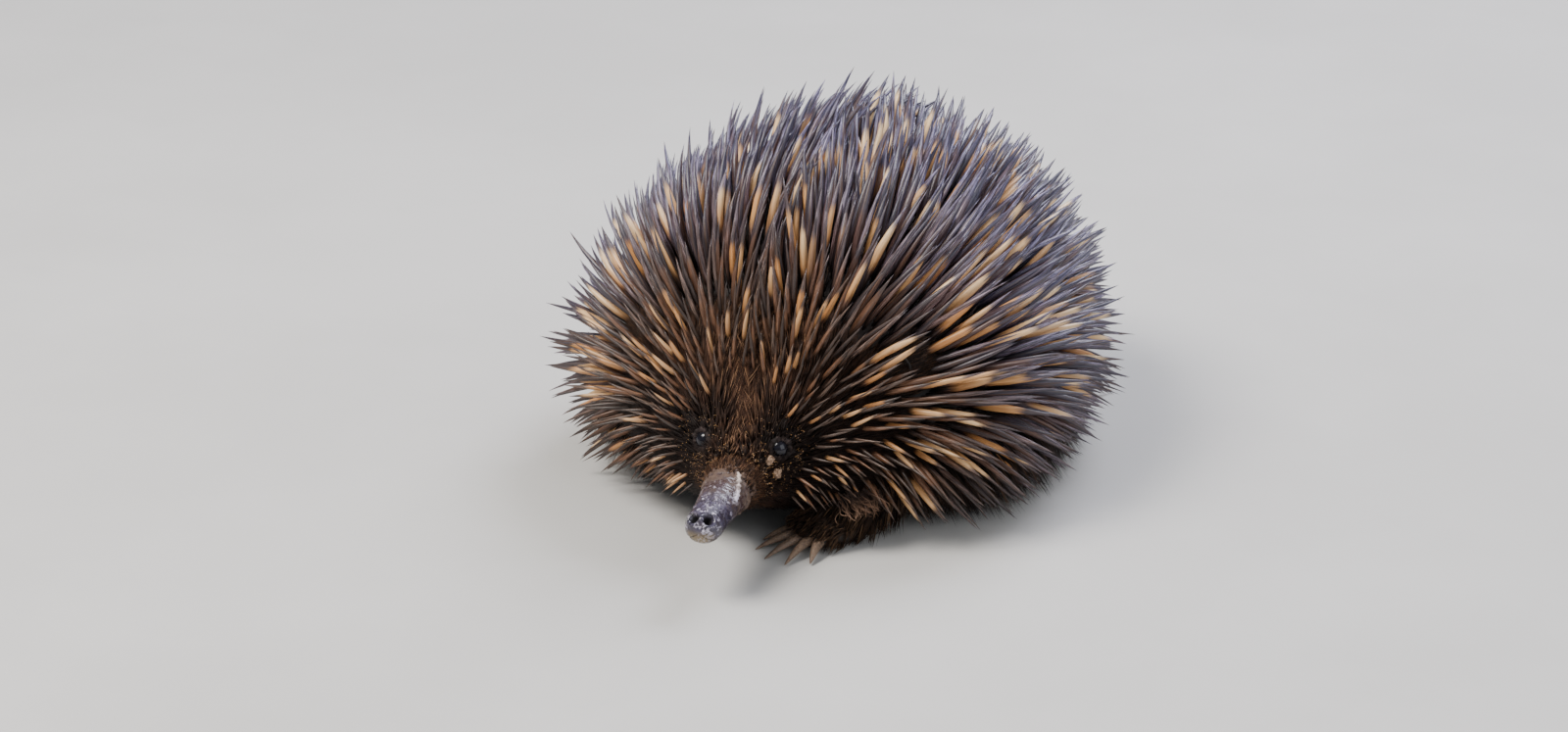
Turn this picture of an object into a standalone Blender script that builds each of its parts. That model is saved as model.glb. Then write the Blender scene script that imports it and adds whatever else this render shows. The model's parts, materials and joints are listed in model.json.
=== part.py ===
"""Life-size short-beaked echidna in mid-step, as faceted solids.

The animal faces -Y, its left side is +X, up is +Z and the floor is z = 0. Face, trunk and rump are one
lofted form, parted by a thin slanted cut behind the ears. Spines grow from it and run backwards from the
face over the back, and outwards and down along the lower flanks. All sizes are in metres.
"""

import math
import random
from math import cos, radians, sin

import bmesh
import bpy
import numpy as np
from mathutils import Matrix, Vector
from mathutils.bvhtree import BVHTree

UP = Vector((0, 0, 1))
FULL_TURN = 2 * math.pi
GAP = 0.0003

# Shift that puts the middle of the whole animal's base at the origin.
TO_ORIGIN = Vector((0.0, 0.0007, 0.0))

# Trunk stations from the beak's root to the rump:
# (y, height of the widest level, half width, rise above that level, drop below it)
TRUNK = (
    (-0.1190, 0.0340, 0.0118, 0.0104, 0.0092),
    (-0.1150, 0.0350, 0.0148, 0.0140, 0.0118),
    (-0.1080, 0.0368, 0.0210, 0.0205, 0.0155),
    (-0.0980, 0.0395, 0.0335, 0.0315, 0.0205),
    (-0.0840, 0.0425, 0.0510, 0.0445, 0.0260),
    (-0.0640, 0.0450, 0.0710, 0.0575, 0.0310),
    (-0.0360, 0.0465, 0.0845, 0.0690, 0.0350),
    (-0.0020, 0.0475, 0.0880, 0.0765, 0.0370),
    (0.0360, 0.0475, 0.0850, 0.0780, 0.0370),
    (0.0720, 0.0465, 0.0745, 0.0690, 0.0350),
    (0.0990, 0.0445, 0.0565, 0.0515, 0.0295),
    (0.1140, 0.0420, 0.0355, 0.0315, 0.0205),
    (0.1210, 0.0400, 0.0140, 0.0115, 0.0080),
)
TRUNK_RINGS = 32
TRUNK_SIDES = 24
BELLY_FLATNESS = 0.80

# The head swings to the animal's left about the neck.
NECK_Y = -0.078
NECK_BLEND_FROM = -0.062
NECK_BLEND_TO = -0.112
HEAD_TURN = radians(6.5)

# The slanted cut between head and torso, along the lie of the nape's spines.
CUT_POINT = Vector((0.0, -0.036, 0.105))
CUT_SLOPE = radians(61)
CUT_NORMAL = Vector((0.0, sin(CUT_SLOPE), -cos(CUT_SLOPE)))
CUT_MARGIN = 0.0024
CUT_ROOT_REACH = 0.0105

# Beak stations: (y, height of its axis, half width, half height)
BEAK = (
    (-0.1193, 0.0342, 0.0117, 0.0102),
    (-0.1260, 0.0340, 0.0105, 0.0092),
    (-0.1340, 0.0337, 0.0095, 0.0082),
    (-0.1430, 0.0332, 0.0086, 0.0073),
    (-0.1510, 0.0327, 0.0080, 0.0068),
    (-0.1590, 0.0322, 0.0078, 0.0066),
    (-0.1635, 0.0319, 0.0066, 0.0056),
    (-0.1655, 0.0317, 0.0038, 0.0032),
)
BEAK_RINGS = 12
BEAK_SIDES = 14
NOSTRIL_PLACE = Vector((0.0038, -0.1600, 0.0372))
NOSTRIL_SIZE = Vector((0.0016, 0.0022, 0.0019))
MOUTH_REACH = 0.010
MOUTH_ANGLE = radians(112)
MOUTH_RADIUS = 0.00045
MOUTH_POINTS = 8

EYE_Y = -0.1092
EYE_ANGLE = radians(57)
EYE_RADIUS = 0.0043
EYE_DEPTH = 0.0022
EYE_FORWARD_TILT = 0.12
LID_RADIUS = 0.0011
LID_OVAL = (1.08, 0.92, 1.0, 1.0)

EAR_Y = -0.070
EAR_ANGLE = radians(57)
EAR_HEIGHT = 0.0150
EAR_CUP_RADIUS = 0.0042
EAR_WALL = 0.0013
EAR_STAND = 0.0050
EAR_ROOT = 0.0040
EAR_LEAN_BACK = 0.0015
EAR_SWEEP = radians(224)
EAR_STEPS = 8
EAR_SPINE_CLEARANCE = 0.0105

# Spines are full size on the back and small round the face. Lifts are measured from the skin.
SPINE_LENGTH = 0.0450
FACE_SPINE_LENGTH = 0.0120
SPINE_RADIUS = 0.0021
FACE_SPINE_RADIUS = 0.0009
SKIRT_SLIMMER = 0.20
SPINE_SIDES = 3
SPINE_WIDEST = 0.42
SPINE_ROOT_WIDTH = 0.78
SPINE_WIDEST_WIDTH = 1.15
SPINE_BEND = 0.11
ROOT_DEPTH = 0.0035
SPINE_SPACING = 0.0086
FACE_SPINE_SPACING = 0.0058
SPINE_FRONT_Y = -0.0965
CHEEK_SPINE_ADVANCE = 0.0075
FULL_LENGTH_Y = -0.045
LOWEST_SPINE_ANGLE = radians(128)
TOP_LIFT = radians(33)
SHOULDER_LIFT = radians(37)
RUMP_LIFT = radians(58)
MIDLINE_LEAN = radians(20)
MIDLINE_LEAN_REACH = radians(55)
FLANK_DROOP = radians(24)
FLANK_FROM = radians(58)
FLANK_TO = radians(110)
PARTING_HALF_ANGLE = radians(5)
LENGTH_SPREAD = (0.88, 1.06)
SWING_SPREAD = 0.10
TILT_SPREAD = 0.05

# The lowest spines form a skirt: shares of outward, backward and downward direction, the last from its top
# row to its bottom row.
SKIRT_OUT = 0.82
SKIRT_BACK = 0.36
SKIRT_DROOP = (0.26, 0.66)
SKIRT_FROM = radians(66)
SKIRT_TO = radians(104)
SKIRT_DROOP_FROM = radians(85)
SKIRT_END = radians(124)

# How close a spine may come to the floor and to the legs and ears, and where along it that is tested.
SPINE_FLOOR = 0.0035
GUARD_GAP = 0.0012
GUARD_SHARES = (0.0, 0.25, 0.5, 0.75, 1.0)
NEAR_SHARES = (0.35, 0.6, 0.85)
FAR_SHARES = (0.0, 0.35, 0.7, 1.0)
DARTS = 26000
SEED = 11
# Tries at each root: (share of the length, added lift, added swing)
TRIES = ((1.0, 0.0, 0.0), (1.0, 0.12, 0.0), (0.95, 0.0, 0.14), (0.95, 0.0, -0.14), (0.8, 0.2, 0.0))

# Tail stations: (y, height of its axis, half width, half height)
TAIL = (
    (0.1140, 0.0370, 0.0150, 0.0115),
    (0.1260, 0.0335, 0.0132, 0.0100),
    (0.1370, 0.0295, 0.0095, 0.0072),
    (0.1430, 0.0270, 0.0045, 0.0035),
)
TAIL_RINGS = 6
TAIL_SIDES = 14
TAIL_SPINE_ROWS = (0.1325, 0.1390)
TAIL_SPINE_ANGLES = tuple(radians(a) for a in (-54, -18, 18, 54))
TAIL_SPINE_LENGTH = 0.016
TAIL_SPINE_RADIUS = 0.0010
TAIL_SPINE_RISE = 0.35
TAIL_SLANT = 0.25

# Legs: the path of each from inside the trunk to the paw, with its radius along the way, then the paw's
# heading, measured from straight ahead (-Y) towards the animal's left (+X), and the length of each claw.
FORE_RADII = (0.0190, 0.0170, 0.0140, 0.0120)
HIND_RADII = (0.0220, 0.0190, 0.0150, 0.0120)
FORE_CLAWS = (0.0110, 0.0165, 0.0180, 0.0165, 0.0110)
HIND_CLAWS = (0.0080, 0.0270, 0.0210, 0.0120, 0.0085)
LEGS = {
    "foreleg_left": {
        "path": (
            (0.042, -0.026, 0.042),
            (0.050, -0.048, 0.032),
            (0.045, -0.070, 0.020),
            (0.033, -0.086, 0.0095),
        ),
        "radii": FORE_RADII,
        "heading": radians(-28),
        "claws": FORE_CLAWS,
        "claw_half_width": 0.0021,
        "claw_arch": 0.0004,
    },
    "foreleg_right": {
        "path": (
            (-0.044, 0.010, 0.042),
            (-0.060, 0.006, 0.032),
            (-0.061, -0.002, 0.020),
            (-0.056, -0.010, 0.0095),
        ),
        "radii": FORE_RADII,
        "heading": radians(12),
        "claws": FORE_CLAWS,
        "claw_half_width": 0.0021,
        "claw_arch": 0.0004,
    },
    "hindleg_left": {
        "path": (
            (0.042, 0.062, 0.044),
            (0.056, 0.070, 0.031),
            (0.061, 0.080, 0.020),
            (0.063, 0.086, 0.0095),
        ),
        "radii": HIND_RADII,
        "heading": radians(132),
        "claws": HIND_CLAWS[::-1],
        "claw_half_width": 0.0017,
        "claw_arch": 0.0012,
    },
    "hindleg_right": {
        "path": (
            (-0.042, 0.042, 0.044),
            (-0.058, 0.047, 0.031),
            (-0.064, 0.054, 0.020),
            (-0.066, 0.060, 0.0095),
        ),
        "radii": HIND_RADII,
        "heading": radians(-128),
        "claws": HIND_CLAWS,
        "claw_half_width": 0.0017,
        "claw_arch": 0.0012,
    },
}
LEG_RINGS = 8
LEG_SIDES = 10
PAW_SIZE = Vector((0.0145, 0.0130, 0.0095))
PAW_HEIGHT = 0.0074
TOE_RADIUS = 0.0037
TOE_SECTIONS = ((0.0, 1.0), (0.6, 1.0), (1.0, 0.72))
TOE_SIDES = 6
TOE_FROM = 0.0060
TOE_REACH = 0.0163
TOE_FAN_STEP = radians(17)
TOE_HEIGHT = 0.0050
CLAW_RINGS = 4
CLAW_SIDES = 5
CLAW_TAPER = 0.7
CLAW_TIP_HEIGHT = 0.0010
FLOOR_BLOCK = 0.2

# Material of each kind of piece: (base colour, roughness)
FINISHES = {
    "torso": ((0.085, 0.058, 0.042, 1.0), 0.80),
    "head": ((0.070, 0.045, 0.033, 1.0), 0.80),
    "snout": ((0.150, 0.125, 0.140, 1.0), 0.55),
    "tail": ((0.075, 0.050, 0.038, 1.0), 0.80),
    "leg": ((0.060, 0.040, 0.028, 1.0), 0.85),
    "ear": ((0.055, 0.038, 0.034, 1.0), 0.75),
    "eye": ((0.012, 0.010, 0.012, 1.0), 0.12),
    "claw": ((0.230, 0.165, 0.105, 1.0), 0.45),
}


def clear_scene():
    for obj in list(bpy.data.objects):
        bpy.data.objects.remove(obj, do_unlink=True)


def collection_named(name):
    made = bpy.data.collections.new(name)
    bpy.context.scene.collection.children.link(made)
    return made


def material_named(name, finish):
    made = bpy.data.materials.new(name)
    made.use_nodes = True
    shader = made.node_tree.nodes["Principled BSDF"]
    colour, roughness = FINISHES[finish]
    shader.inputs["Base Color"].default_value = colour
    shader.inputs["Roughness"].default_value = roughness
    shader.inputs["Metallic"].default_value = 0.0
    return made


def smooth_step(x):
    x = min(max(x, 0.0), 1.0)
    return x * x * (3 - 2 * x)


def along(table, t):
    """The table's row at t, from 0 at its first row to 1 at its last, on a smooth curve through all rows."""
    last = len(table) - 1
    place = min(max(t, 0.0), 1.0) * last
    i = min(int(place), last - 1)
    f = place - i
    a, b, c, d = (np.array(table[min(max(i + k, 0), last)], float) for k in (-1, 0, 1, 2))
    return 0.5 * (2 * b + (c - a) * f + (2 * a - 5 * b + 4 * c - d) * f**2 + (3 * b - a - 3 * c + d) * f**3)


def turned(p):
    """A point of the straight animal after the head has swung about the neck."""
    angle = HEAD_TURN * smooth_step((NECK_BLEND_FROM - p[1]) / (NECK_BLEND_FROM - NECK_BLEND_TO))
    x, y = p[0], p[1] - NECK_Y
    return Vector((cos(angle) * x - sin(angle) * y, sin(angle) * x + cos(angle) * y + NECK_Y, p[2]))


def trunk_point(t, angle):
    """A point of the trunk: t from the beak's root to the rump, angle from the top, + to the left."""
    y, level, half_width, rise, drop = along(TRUNK, t)
    across, up = sin(angle), cos(angle)
    if up < 0:
        up = -(abs(up) ** BELLY_FLATNESS)
        across = math.copysign(abs(across) ** BELLY_FLATNESS, across)
    height = rise if up > 0 else drop
    return turned((half_width * across, y, level + height * up))


def trunk_frame(t, angle):
    """The trunk's point there with its outward normal, its backward and its downward direction."""
    step = 0.004
    here = trunk_point(t, angle)
    ahead, behind = trunk_point(max(t - step, 0), angle), trunk_point(min(t + step, 1), angle)
    back = (behind - ahead).normalized()
    side = math.copysign(1.0, angle)
    down = (trunk_point(t, angle + side * step) - trunk_point(t, angle - side * step)).normalized()
    return here, (down.cross(back) * side).normalized(), back, down


def t_at(y):
    """The place along the trunk whose station is at y, on the straight animal."""
    low, high = 0.0, 1.0
    for _ in range(40):
        middle = (low + high) / 2
        if along(TRUNK, middle)[0] < y:
            low = middle
        else:
            high = middle
    return low


def object_from(name, bm, into):
    """A new object in the collection, from a bmesh whose faces are turned outwards."""
    bmesh.ops.recalc_face_normals(bm, faces=bm.faces)
    mesh = bpy.data.meshes.new(name)
    bm.to_mesh(mesh)
    bm.free()
    obj = bpy.data.objects.new(name, mesh)
    into.objects.link(obj)
    return obj


def loft(name, rings, into):
    """A closed mesh through rings of points. A ring of one point is a tip; other end rings get flat caps."""
    bm = bmesh.new()
    rows = [[bm.verts.new(p) for p in ring] for ring in rings]
    for near, far in zip(rows, rows[1:]):
        for k, vert in enumerate(near):
            beside = near[(k + 1) % len(near)]
            if len(far) == 1:
                bm.faces.new((vert, beside, far[0]))
            else:
                bm.faces.new((vert, beside, far[(k + 1) % len(far)], far[k]))
    for end in (rows[0], rows[-1]):
        if len(end) > 2:
            bm.faces.new(end)
    return object_from(name, bm, into)


def ring_round(centre, side, up, half_width, half_height, count):
    """An elliptical ring of points about a centre."""
    turns = [FULL_TURN * k / count for k in range(count)]
    return [centre + side * (half_width * cos(a)) + up * (half_height * sin(a)) for a in turns]


def add_ball(name, centre, size, into, segments=14, rings=8, heading=0.0):
    """A ball, or an egg with a size for each axis, turned about the vertical."""
    bm = bmesh.new()
    bmesh.ops.create_uvsphere(bm, u_segments=segments, v_segments=rings, radius=1.0)
    bmesh.ops.scale(bm, vec=size, verts=bm.verts)
    bmesh.ops.rotate(bm, matrix=Matrix.Rotation(heading, 3, "Z"), verts=bm.verts)
    bmesh.ops.translate(bm, vec=centre, verts=bm.verts)
    return object_from(name, bm, into)


def boolean(obj, others, operation):
    """One Boolean on a collection of closed mesh objects, applied. The collection's objects are removed."""
    modifier = obj.modifiers.new("join", "BOOLEAN")
    modifier.operand_type = "COLLECTION"
    modifier.collection = others
    modifier.operation = operation
    modifier.solver = "MANIFOLD"
    bpy.context.view_layer.update()
    evaluated = obj.evaluated_get(bpy.context.evaluated_depsgraph_get())
    mesh = bpy.data.meshes.new_from_object(evaluated)
    obj.modifiers.clear()
    obj.data = mesh
    for other in list(others.objects):
        bpy.data.objects.remove(other, do_unlink=True)
    bpy.data.collections.remove(others)


def surface_round(vert, seen):
    """All the points that edges join to this one, which are added to those seen."""
    found, waiting = [], [vert]
    seen.add(vert)
    while waiting:
        here = waiting.pop()
        found.append(here)
        for edge in here.link_edges:
            other = edge.other_vert(here)
            if other not in seen:
                seen.add(other)
                waiting.append(other)
    return found


def keep_largest(obj):
    """Keeps only the largest closed surface of a mesh, in triangles."""
    bm = bmesh.new()
    bm.from_mesh(obj.data)
    bmesh.ops.triangulate(bm, faces=bm.faces)
    seen = set()
    surfaces = [surface_round(vert, seen) for vert in bm.verts if vert not in seen]
    surfaces.sort(key=len, reverse=True)
    scraps = [vert for surface in surfaces[1:] for vert in surface]
    bmesh.ops.delete(bm, geom=scraps, context="VERTS")
    bm.to_mesh(obj.data)
    bm.free()


def grown(obj, by, into):
    """A copy of a mesh object with every point moved out along its normal."""
    copy = bpy.data.objects.new(obj.name + "_grown", obj.data.copy())
    into.objects.link(copy)
    for vert in copy.data.vertices:
        vert.co += obj.data.vertices[vert.index].normal * by
    return copy


def parted(obj, name, point, normal, into):
    """The half of a closed mesh on the side that the normal points away from, with its cut face closed."""
    bm = bmesh.new()
    bm.from_mesh(obj.data)
    geometry = list(bm.verts) + list(bm.edges) + list(bm.faces)
    cut = bmesh.ops.bisect_plane(bm, geom=geometry, plane_co=point, plane_no=normal, clear_outer=True)
    rim = [item for item in cut["geom_cut"] if isinstance(item, bmesh.types.BMEdge)]
    bmesh.ops.contextual_create(bm, geom=rim)
    return object_from(name, bm, into)


def tree_of(obj):
    """A search tree of a mesh object's surface."""
    bm = bmesh.new()
    bm.from_mesh(obj.data)
    bmesh.ops.triangulate(bm, faces=bm.faces)
    made = BVHTree.FromBMesh(bm)
    bm.free()
    return made


def trunk_rings():
    """The rings of the whole animal's trunk, closest together on the face."""
    rings = []
    for i in range(TRUNK_RINGS + 1):
        t = (i / TRUNK_RINGS) ** 1.12
        rings.append([trunk_point(t, FULL_TURN * k / TRUNK_SIDES) for k in range(TRUNK_SIDES)])
    return rings


def segment_distances(a, b, starts, ends):
    """The distance from the segment a-b to each of many segments."""
    u, v, w = b - a, ends - starts, a - starts
    uu, vv = u @ u, np.maximum(np.einsum("ij,ij->i", v, v), 1e-18)
    uv, uw, vw = v @ u, w @ u, np.einsum("ij,ij->i", v, w)
    across = np.maximum(uu * vv - uv * uv, 1e-18)
    s = np.clip((uv * vw - vv * uw) / across, 0, 1)
    r = np.clip((uv * s + vw) / vv, 0, 1)
    s = np.clip((uv * r - uw) / uu, 0, 1)
    return np.linalg.norm(w + s[:, None] * u - r[:, None] * v, axis=1)


class Thicket:
    """The spines placed so far, as straight lengths with a radius, to keep new ones clear of them."""

    def __init__(self):
        self.starts, self.ends, self.radii = np.zeros((0, 3)), np.zeros((0, 3)), np.zeros(0)

    def clearance(self, line, radius):
        """The least gap between this bent line and the spines placed so far."""
        gaps = [1.0]
        for a, b in zip(line, line[1:]):
            between = segment_distances(np.array(a), np.array(b), self.starts, self.ends)
            gaps.extend(between - self.radii - radius)
        return min(gaps)

    def add(self, line, radius):
        for a, b in zip(line, line[1:]):
            self.starts = np.vstack([self.starts, a])
            self.ends = np.vstack([self.ends, b])
            self.radii = np.append(self.radii, radius)


def growth(y):
    """How far the spines at y are grown, from 0 at the face to 1 on the back."""
    return smooth_step((y - SPINE_FRONT_Y) / (FULL_LENGTH_Y - SPINE_FRONT_Y))


def skirt_share(angle):
    """How far a spine belongs to the skirt along the lower flanks, from 0 on the back to 1 near the floor."""
    return smooth_step((abs(angle) - SKIRT_FROM) / (SKIRT_TO - SKIRT_FROM))


def spine_size(y, angle):
    """(length, radius, lift) of the spine at this station and this angle from the top of the back."""
    slimmer = 1 - SKIRT_SLIMMER * skirt_share(angle)
    length = (FACE_SPINE_LENGTH + (SPINE_LENGTH - FACE_SPINE_LENGTH) * growth(y)) * slimmer
    radius = (FACE_SPINE_RADIUS + (SPINE_RADIUS - FACE_SPINE_RADIUS) * growth(y)) * slimmer
    lift = TOP_LIFT + (SHOULDER_LIFT - TOP_LIFT) * smooth_step((-y - 0.01) / 0.06)
    lift += (RUMP_LIFT - TOP_LIFT) * smooth_step((y - 0.055) / 0.05)
    return length, radius, lift


def skirt_way(angle, normal, back):
    """The direction of a spine of the skirt: outwards, somewhat back, and the lower the more down."""
    lowest = smooth_step((abs(angle) - SKIRT_DROOP_FROM) / (SKIRT_END - SKIRT_DROOP_FROM))
    droop = SKIRT_DROOP[0] + (SKIRT_DROOP[1] - SKIRT_DROOP[0]) * lowest
    out = Vector((normal.x, normal.y, 0)).normalized()
    return (out * SKIRT_OUT + back * SKIRT_BACK - UP * droop).normalized()


def spine_line(t, angle, length, lift, swing):
    """The bent centre line of a spine: its buried root, its widest place and its tip."""
    here, normal, back, down = trunk_frame(t, angle)
    towards_midline = MIDLINE_LEAN * (1 - smooth_step(abs(angle) / MIDLINE_LEAN_REACH))
    drooping = FLANK_DROOP * smooth_step((abs(angle) - FLANK_FROM) / (FLANK_TO - FLANK_FROM))
    lean = drooping - towards_midline + swing
    lean *= min(abs(angle) / PARTING_HALF_ANGLE, 1.0)
    flat = back * cos(lean) + down * sin(lean)
    skirt, share = skirt_way(angle, normal, back), skirt_share(angle)
    rising = flat * cos(lift + SPINE_BEND) + normal * sin(lift + SPINE_BEND)
    lying = flat * cos(lift - SPINE_BEND) + normal * sin(lift - SPINE_BEND)
    rising = rising.lerp(skirt + UP * SPINE_BEND, share).normalized()
    lying = lying.lerp(skirt - UP * SPINE_BEND / 2, share).normalized()
    widest = here + rising * (length * SPINE_WIDEST)
    tip = widest + lying * (length * (1 - SPINE_WIDEST))
    inwards = -normal
    if -CUT_ROOT_REACH < (here - CUT_POINT).dot(CUT_NORMAL) < 0:
        inwards = (inwards - CUT_NORMAL * inwards.dot(CUT_NORMAL)).normalized()
    return here + inwards * ROOT_DEPTH, widest, tip


def spine_mesh(name, line, radius, into):
    """A thin tapered spine along a bent line."""
    root, widest, tip = line
    axis = (tip - root).normalized()
    side = axis.cross(UP)
    if side.length < 0.2:
        side = axis.cross(Vector((1, 0, 0)))
    side.normalize()
    up = side.cross(axis)
    thin, wide = radius * SPINE_ROOT_WIDTH, radius * SPINE_WIDEST_WIDTH
    rings = (
        ring_round(root, side, up, thin, thin, SPINE_SIDES),
        ring_round(widest, side, up, wide, wide, SPINE_SIDES),
        [tip],
    )
    return loft(name, rings, into)


def outside_by(tree, point):
    """How far a point lies outside a closed surface, less than zero inside it."""
    near, normal, _, distance = tree.find_nearest(point)
    return math.copysign(distance, (point - near).dot(normal))


def is_clear(here, line, radius, trunk_tree, guard_trees, thicket):
    """Whether a spine keeps clear of the floor, the other spines, the trunk and the parts beside it."""
    _, widest, tip = line
    if min(widest.z, tip.z) < SPINE_FLOOR:
        return False
    if thicket.clearance((here.lerp(widest, 0.25), widest, tip), radius) < GAP:
        return False
    if min(outside_by(trunk_tree, here.lerp(widest, share)) for share in NEAR_SHARES) < radius / 2:
        return False
    if min(outside_by(trunk_tree, widest.lerp(tip, share)) for share in FAR_SHARES) < radius + 2 * GAP:
        return False
    for tree in guard_trees:
        if min(tree.find_nearest(here.lerp(tip, share))[3] for share in GUARD_SHARES) < radius + GUARD_GAP:
            return False
    return True


def plant_spines(trunk_tree, guard_trees):
    """The bent lines of the spines of head and torso, evenly scattered and kept clear of each other."""
    rng = random.Random(SEED)
    roots, placed, thicket = np.zeros((0, 3)), {"head": [], "torso": []}, Thicket()
    ear_places = [ear_frame(side)[0] for side in (1, -1)]
    first = t_at(SPINE_FRONT_Y - CHEEK_SPINE_ADVANCE)
    widest_sum = max(row[2] + row[3] for row in TRUNK)
    for _ in range(DARTS):
        t = rng.uniform(first, 1.0)
        angle = rng.uniform(-LOWEST_SPINE_ANGLE, LOWEST_SPINE_ANGLE)
        y, _, half_width, rise, _ = along(TRUNK, t)
        if rng.random() > (half_width + rise) / widest_sum + 0.15:
            continue
        if y < SPINE_FRONT_Y - CHEEK_SPINE_ADVANCE * smooth_step(abs(angle) / radians(60)):
            continue
        here = trunk_point(t, angle)
        spacing = FACE_SPINE_SPACING + (SPINE_SPACING - FACE_SPINE_SPACING) * growth(y)
        if len(roots) and np.linalg.norm(roots - np.array(here), axis=1).min() < spacing:
            continue
        if min((here - place).length for place in ear_places) < EAR_SPINE_CLEARANCE:
            continue
        beyond_cut = (here - CUT_POINT).dot(CUT_NORMAL)
        if abs(beyond_cut) < CUT_MARGIN:
            continue
        length, radius, lift = spine_size(y, angle)
        length *= rng.uniform(*LENGTH_SPREAD)
        swing, tilt = rng.uniform(-SWING_SPREAD, SWING_SPREAD), rng.uniform(-TILT_SPREAD, TILT_SPREAD)
        for share, more_lift, more_swing in TRIES:
            line = spine_line(t, angle, length * share, lift + tilt + more_lift, swing + more_swing)
            if is_clear(here, line, radius, trunk_tree, guard_trees, thicket):
                thicket.add((here, line[1], line[2]), radius)
                placed["torso" if beyond_cut > 0 else "head"].append((line, radius))
                roots = np.vstack([roots, here])
                break
    return placed, thicket


def eye_frame(side):
    """The eye's centre and the direction that it looks in."""
    here, normal, back, _ = trunk_frame(t_at(EYE_Y), side * EYE_ANGLE)
    look = (normal - back * EYE_FORWARD_TILT).normalized()
    return here - look * EYE_DEPTH, look


def add_lid(name, side, into):
    """The rim of skin round an eye: a flattened ring that follows the eyeball."""
    centre, look = eye_frame(side)
    bpy.ops.mesh.primitive_torus_add(
        major_segments=14, minor_segments=6, major_radius=EYE_RADIUS, minor_radius=LID_RADIUS
    )
    lid = bpy.context.object
    lid.name = name
    tilt = look.to_track_quat("Z", "Y").to_matrix().to_4x4()
    lid.data.transform(Matrix.Translation(centre + look * EYE_DEPTH) @ tilt @ Matrix.Diagonal(LID_OVAL))
    for holder in list(lid.users_collection):
        holder.objects.unlink(lid)
    into.objects.link(lid)


def ear_frame(side):
    """The ear's place on the head with its outward, backward and downward directions."""
    return trunk_frame(t_at(EAR_Y), side * EAR_ANGLE)


def make_ear(name, side, trunk, into):
    """A low crescent of skin that cups the ear's slit and opens forwards, cut to sit on the head."""
    here, normal, back, down = ear_frame(side)
    inner, outer = EAR_CUP_RADIUS, EAR_CUP_RADIUS + EAR_WALL
    stretch = EAR_HEIGHT / (2 * outer)
    foot = here - normal * EAR_ROOT
    rings = []
    for i in range(EAR_STEPS + 1):
        a = EAR_SWEEP * (i / EAR_STEPS - 0.5)
        low_at_ends = 1 - 0.45 * (2 * i / EAR_STEPS - 1) ** 2
        near = foot + back * (inner * cos(a)) + down * (inner * stretch * sin(a))
        far = foot + back * (outer * cos(a)) + down * (outer * stretch * sin(a))
        top = normal * (EAR_ROOT + EAR_STAND * low_at_ends) + back * (EAR_LEAN_BACK * low_at_ends)
        rings.append([near, far, far + top, near + top])
    ear = loft(name, rings, into)
    cutters = collection_named(name + "_cutters")
    grown(trunk, GAP, cutters)
    boolean(ear, cutters, "DIFFERENCE")
    keep_largest(ear)
    return ear


def make_head(trunk, spines, into):
    """The face and crown: eye sockets with their lids, and the spines in front of the cut."""
    head = parted(trunk, "head", CUT_POINT - CUT_NORMAL * (GAP / 2), CUT_NORMAL, into)
    pieces, sockets = collection_named("head_pieces"), collection_named("sockets")
    for side, word in ((1, "left"), (-1, "right")):
        add_lid("lid_" + word, side, pieces)
        socket_size = Vector((1, 1, 1)) * (EYE_RADIUS + GAP)
        add_ball("socket_" + word, eye_frame(side)[0], socket_size, sockets)
    for number, (line, radius) in enumerate(spines):
        spine_mesh(f"head_spine_{number}", line, radius, pieces)
    boolean(head, pieces, "UNION")
    boolean(head, sockets, "DIFFERENCE")
    keep_largest(head)
    return head


def make_torso(trunk, spines, into):
    """The back, flanks and belly with most of the spines."""
    torso = parted(trunk, "torso", CUT_POINT + CUT_NORMAL * (GAP / 2), -CUT_NORMAL, into)
    pieces = collection_named("torso_pieces")
    for number, (line, radius) in enumerate(spines):
        spine_mesh(f"torso_spine_{number}", line, radius, pieces)
    boolean(torso, pieces, "UNION")
    keep_largest(torso)
    return torso


def beak_point(t, angle):
    """A point of the beak: t from its root to its tip, angle from its top, + to the left."""
    y, level, half_width, half_height = along(BEAK, t)
    return turned((half_width * sin(angle), y, level + half_height * cos(angle)))


def mouth_groove(into):
    """A thin tube along the lip line, from one corner of the mouth round the tip to the other."""
    tip_y, tip_level = BEAK[-1][:2]
    steps = [k / 200 for k in range(201)]
    left = []
    for i in range(MOUTH_POINTS):
        y = tip_y + MOUTH_REACH * (1 - (i / MOUTH_POINTS) ** 0.8)
        left.append(next(t for t in steps if along(BEAK, t)[0] <= y))
    front = turned((0, tip_y - 0.0001, tip_level - 0.0012))
    points = [beak_point(t, MOUTH_ANGLE) for t in left] + [front]
    points += [beak_point(t, -MOUTH_ANGLE) for t in reversed(left)]
    rings = []
    for i, point in enumerate(points):
        way = (points[min(i + 1, len(points) - 1)] - points[max(i - 1, 0)]).normalized()
        side = way.cross(UP).normalized()
        rings.append(ring_round(point, side, side.cross(way), MOUTH_RADIUS * 1.4, MOUTH_RADIUS, 6))
    return loft("mouth_groove", rings, into)


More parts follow.
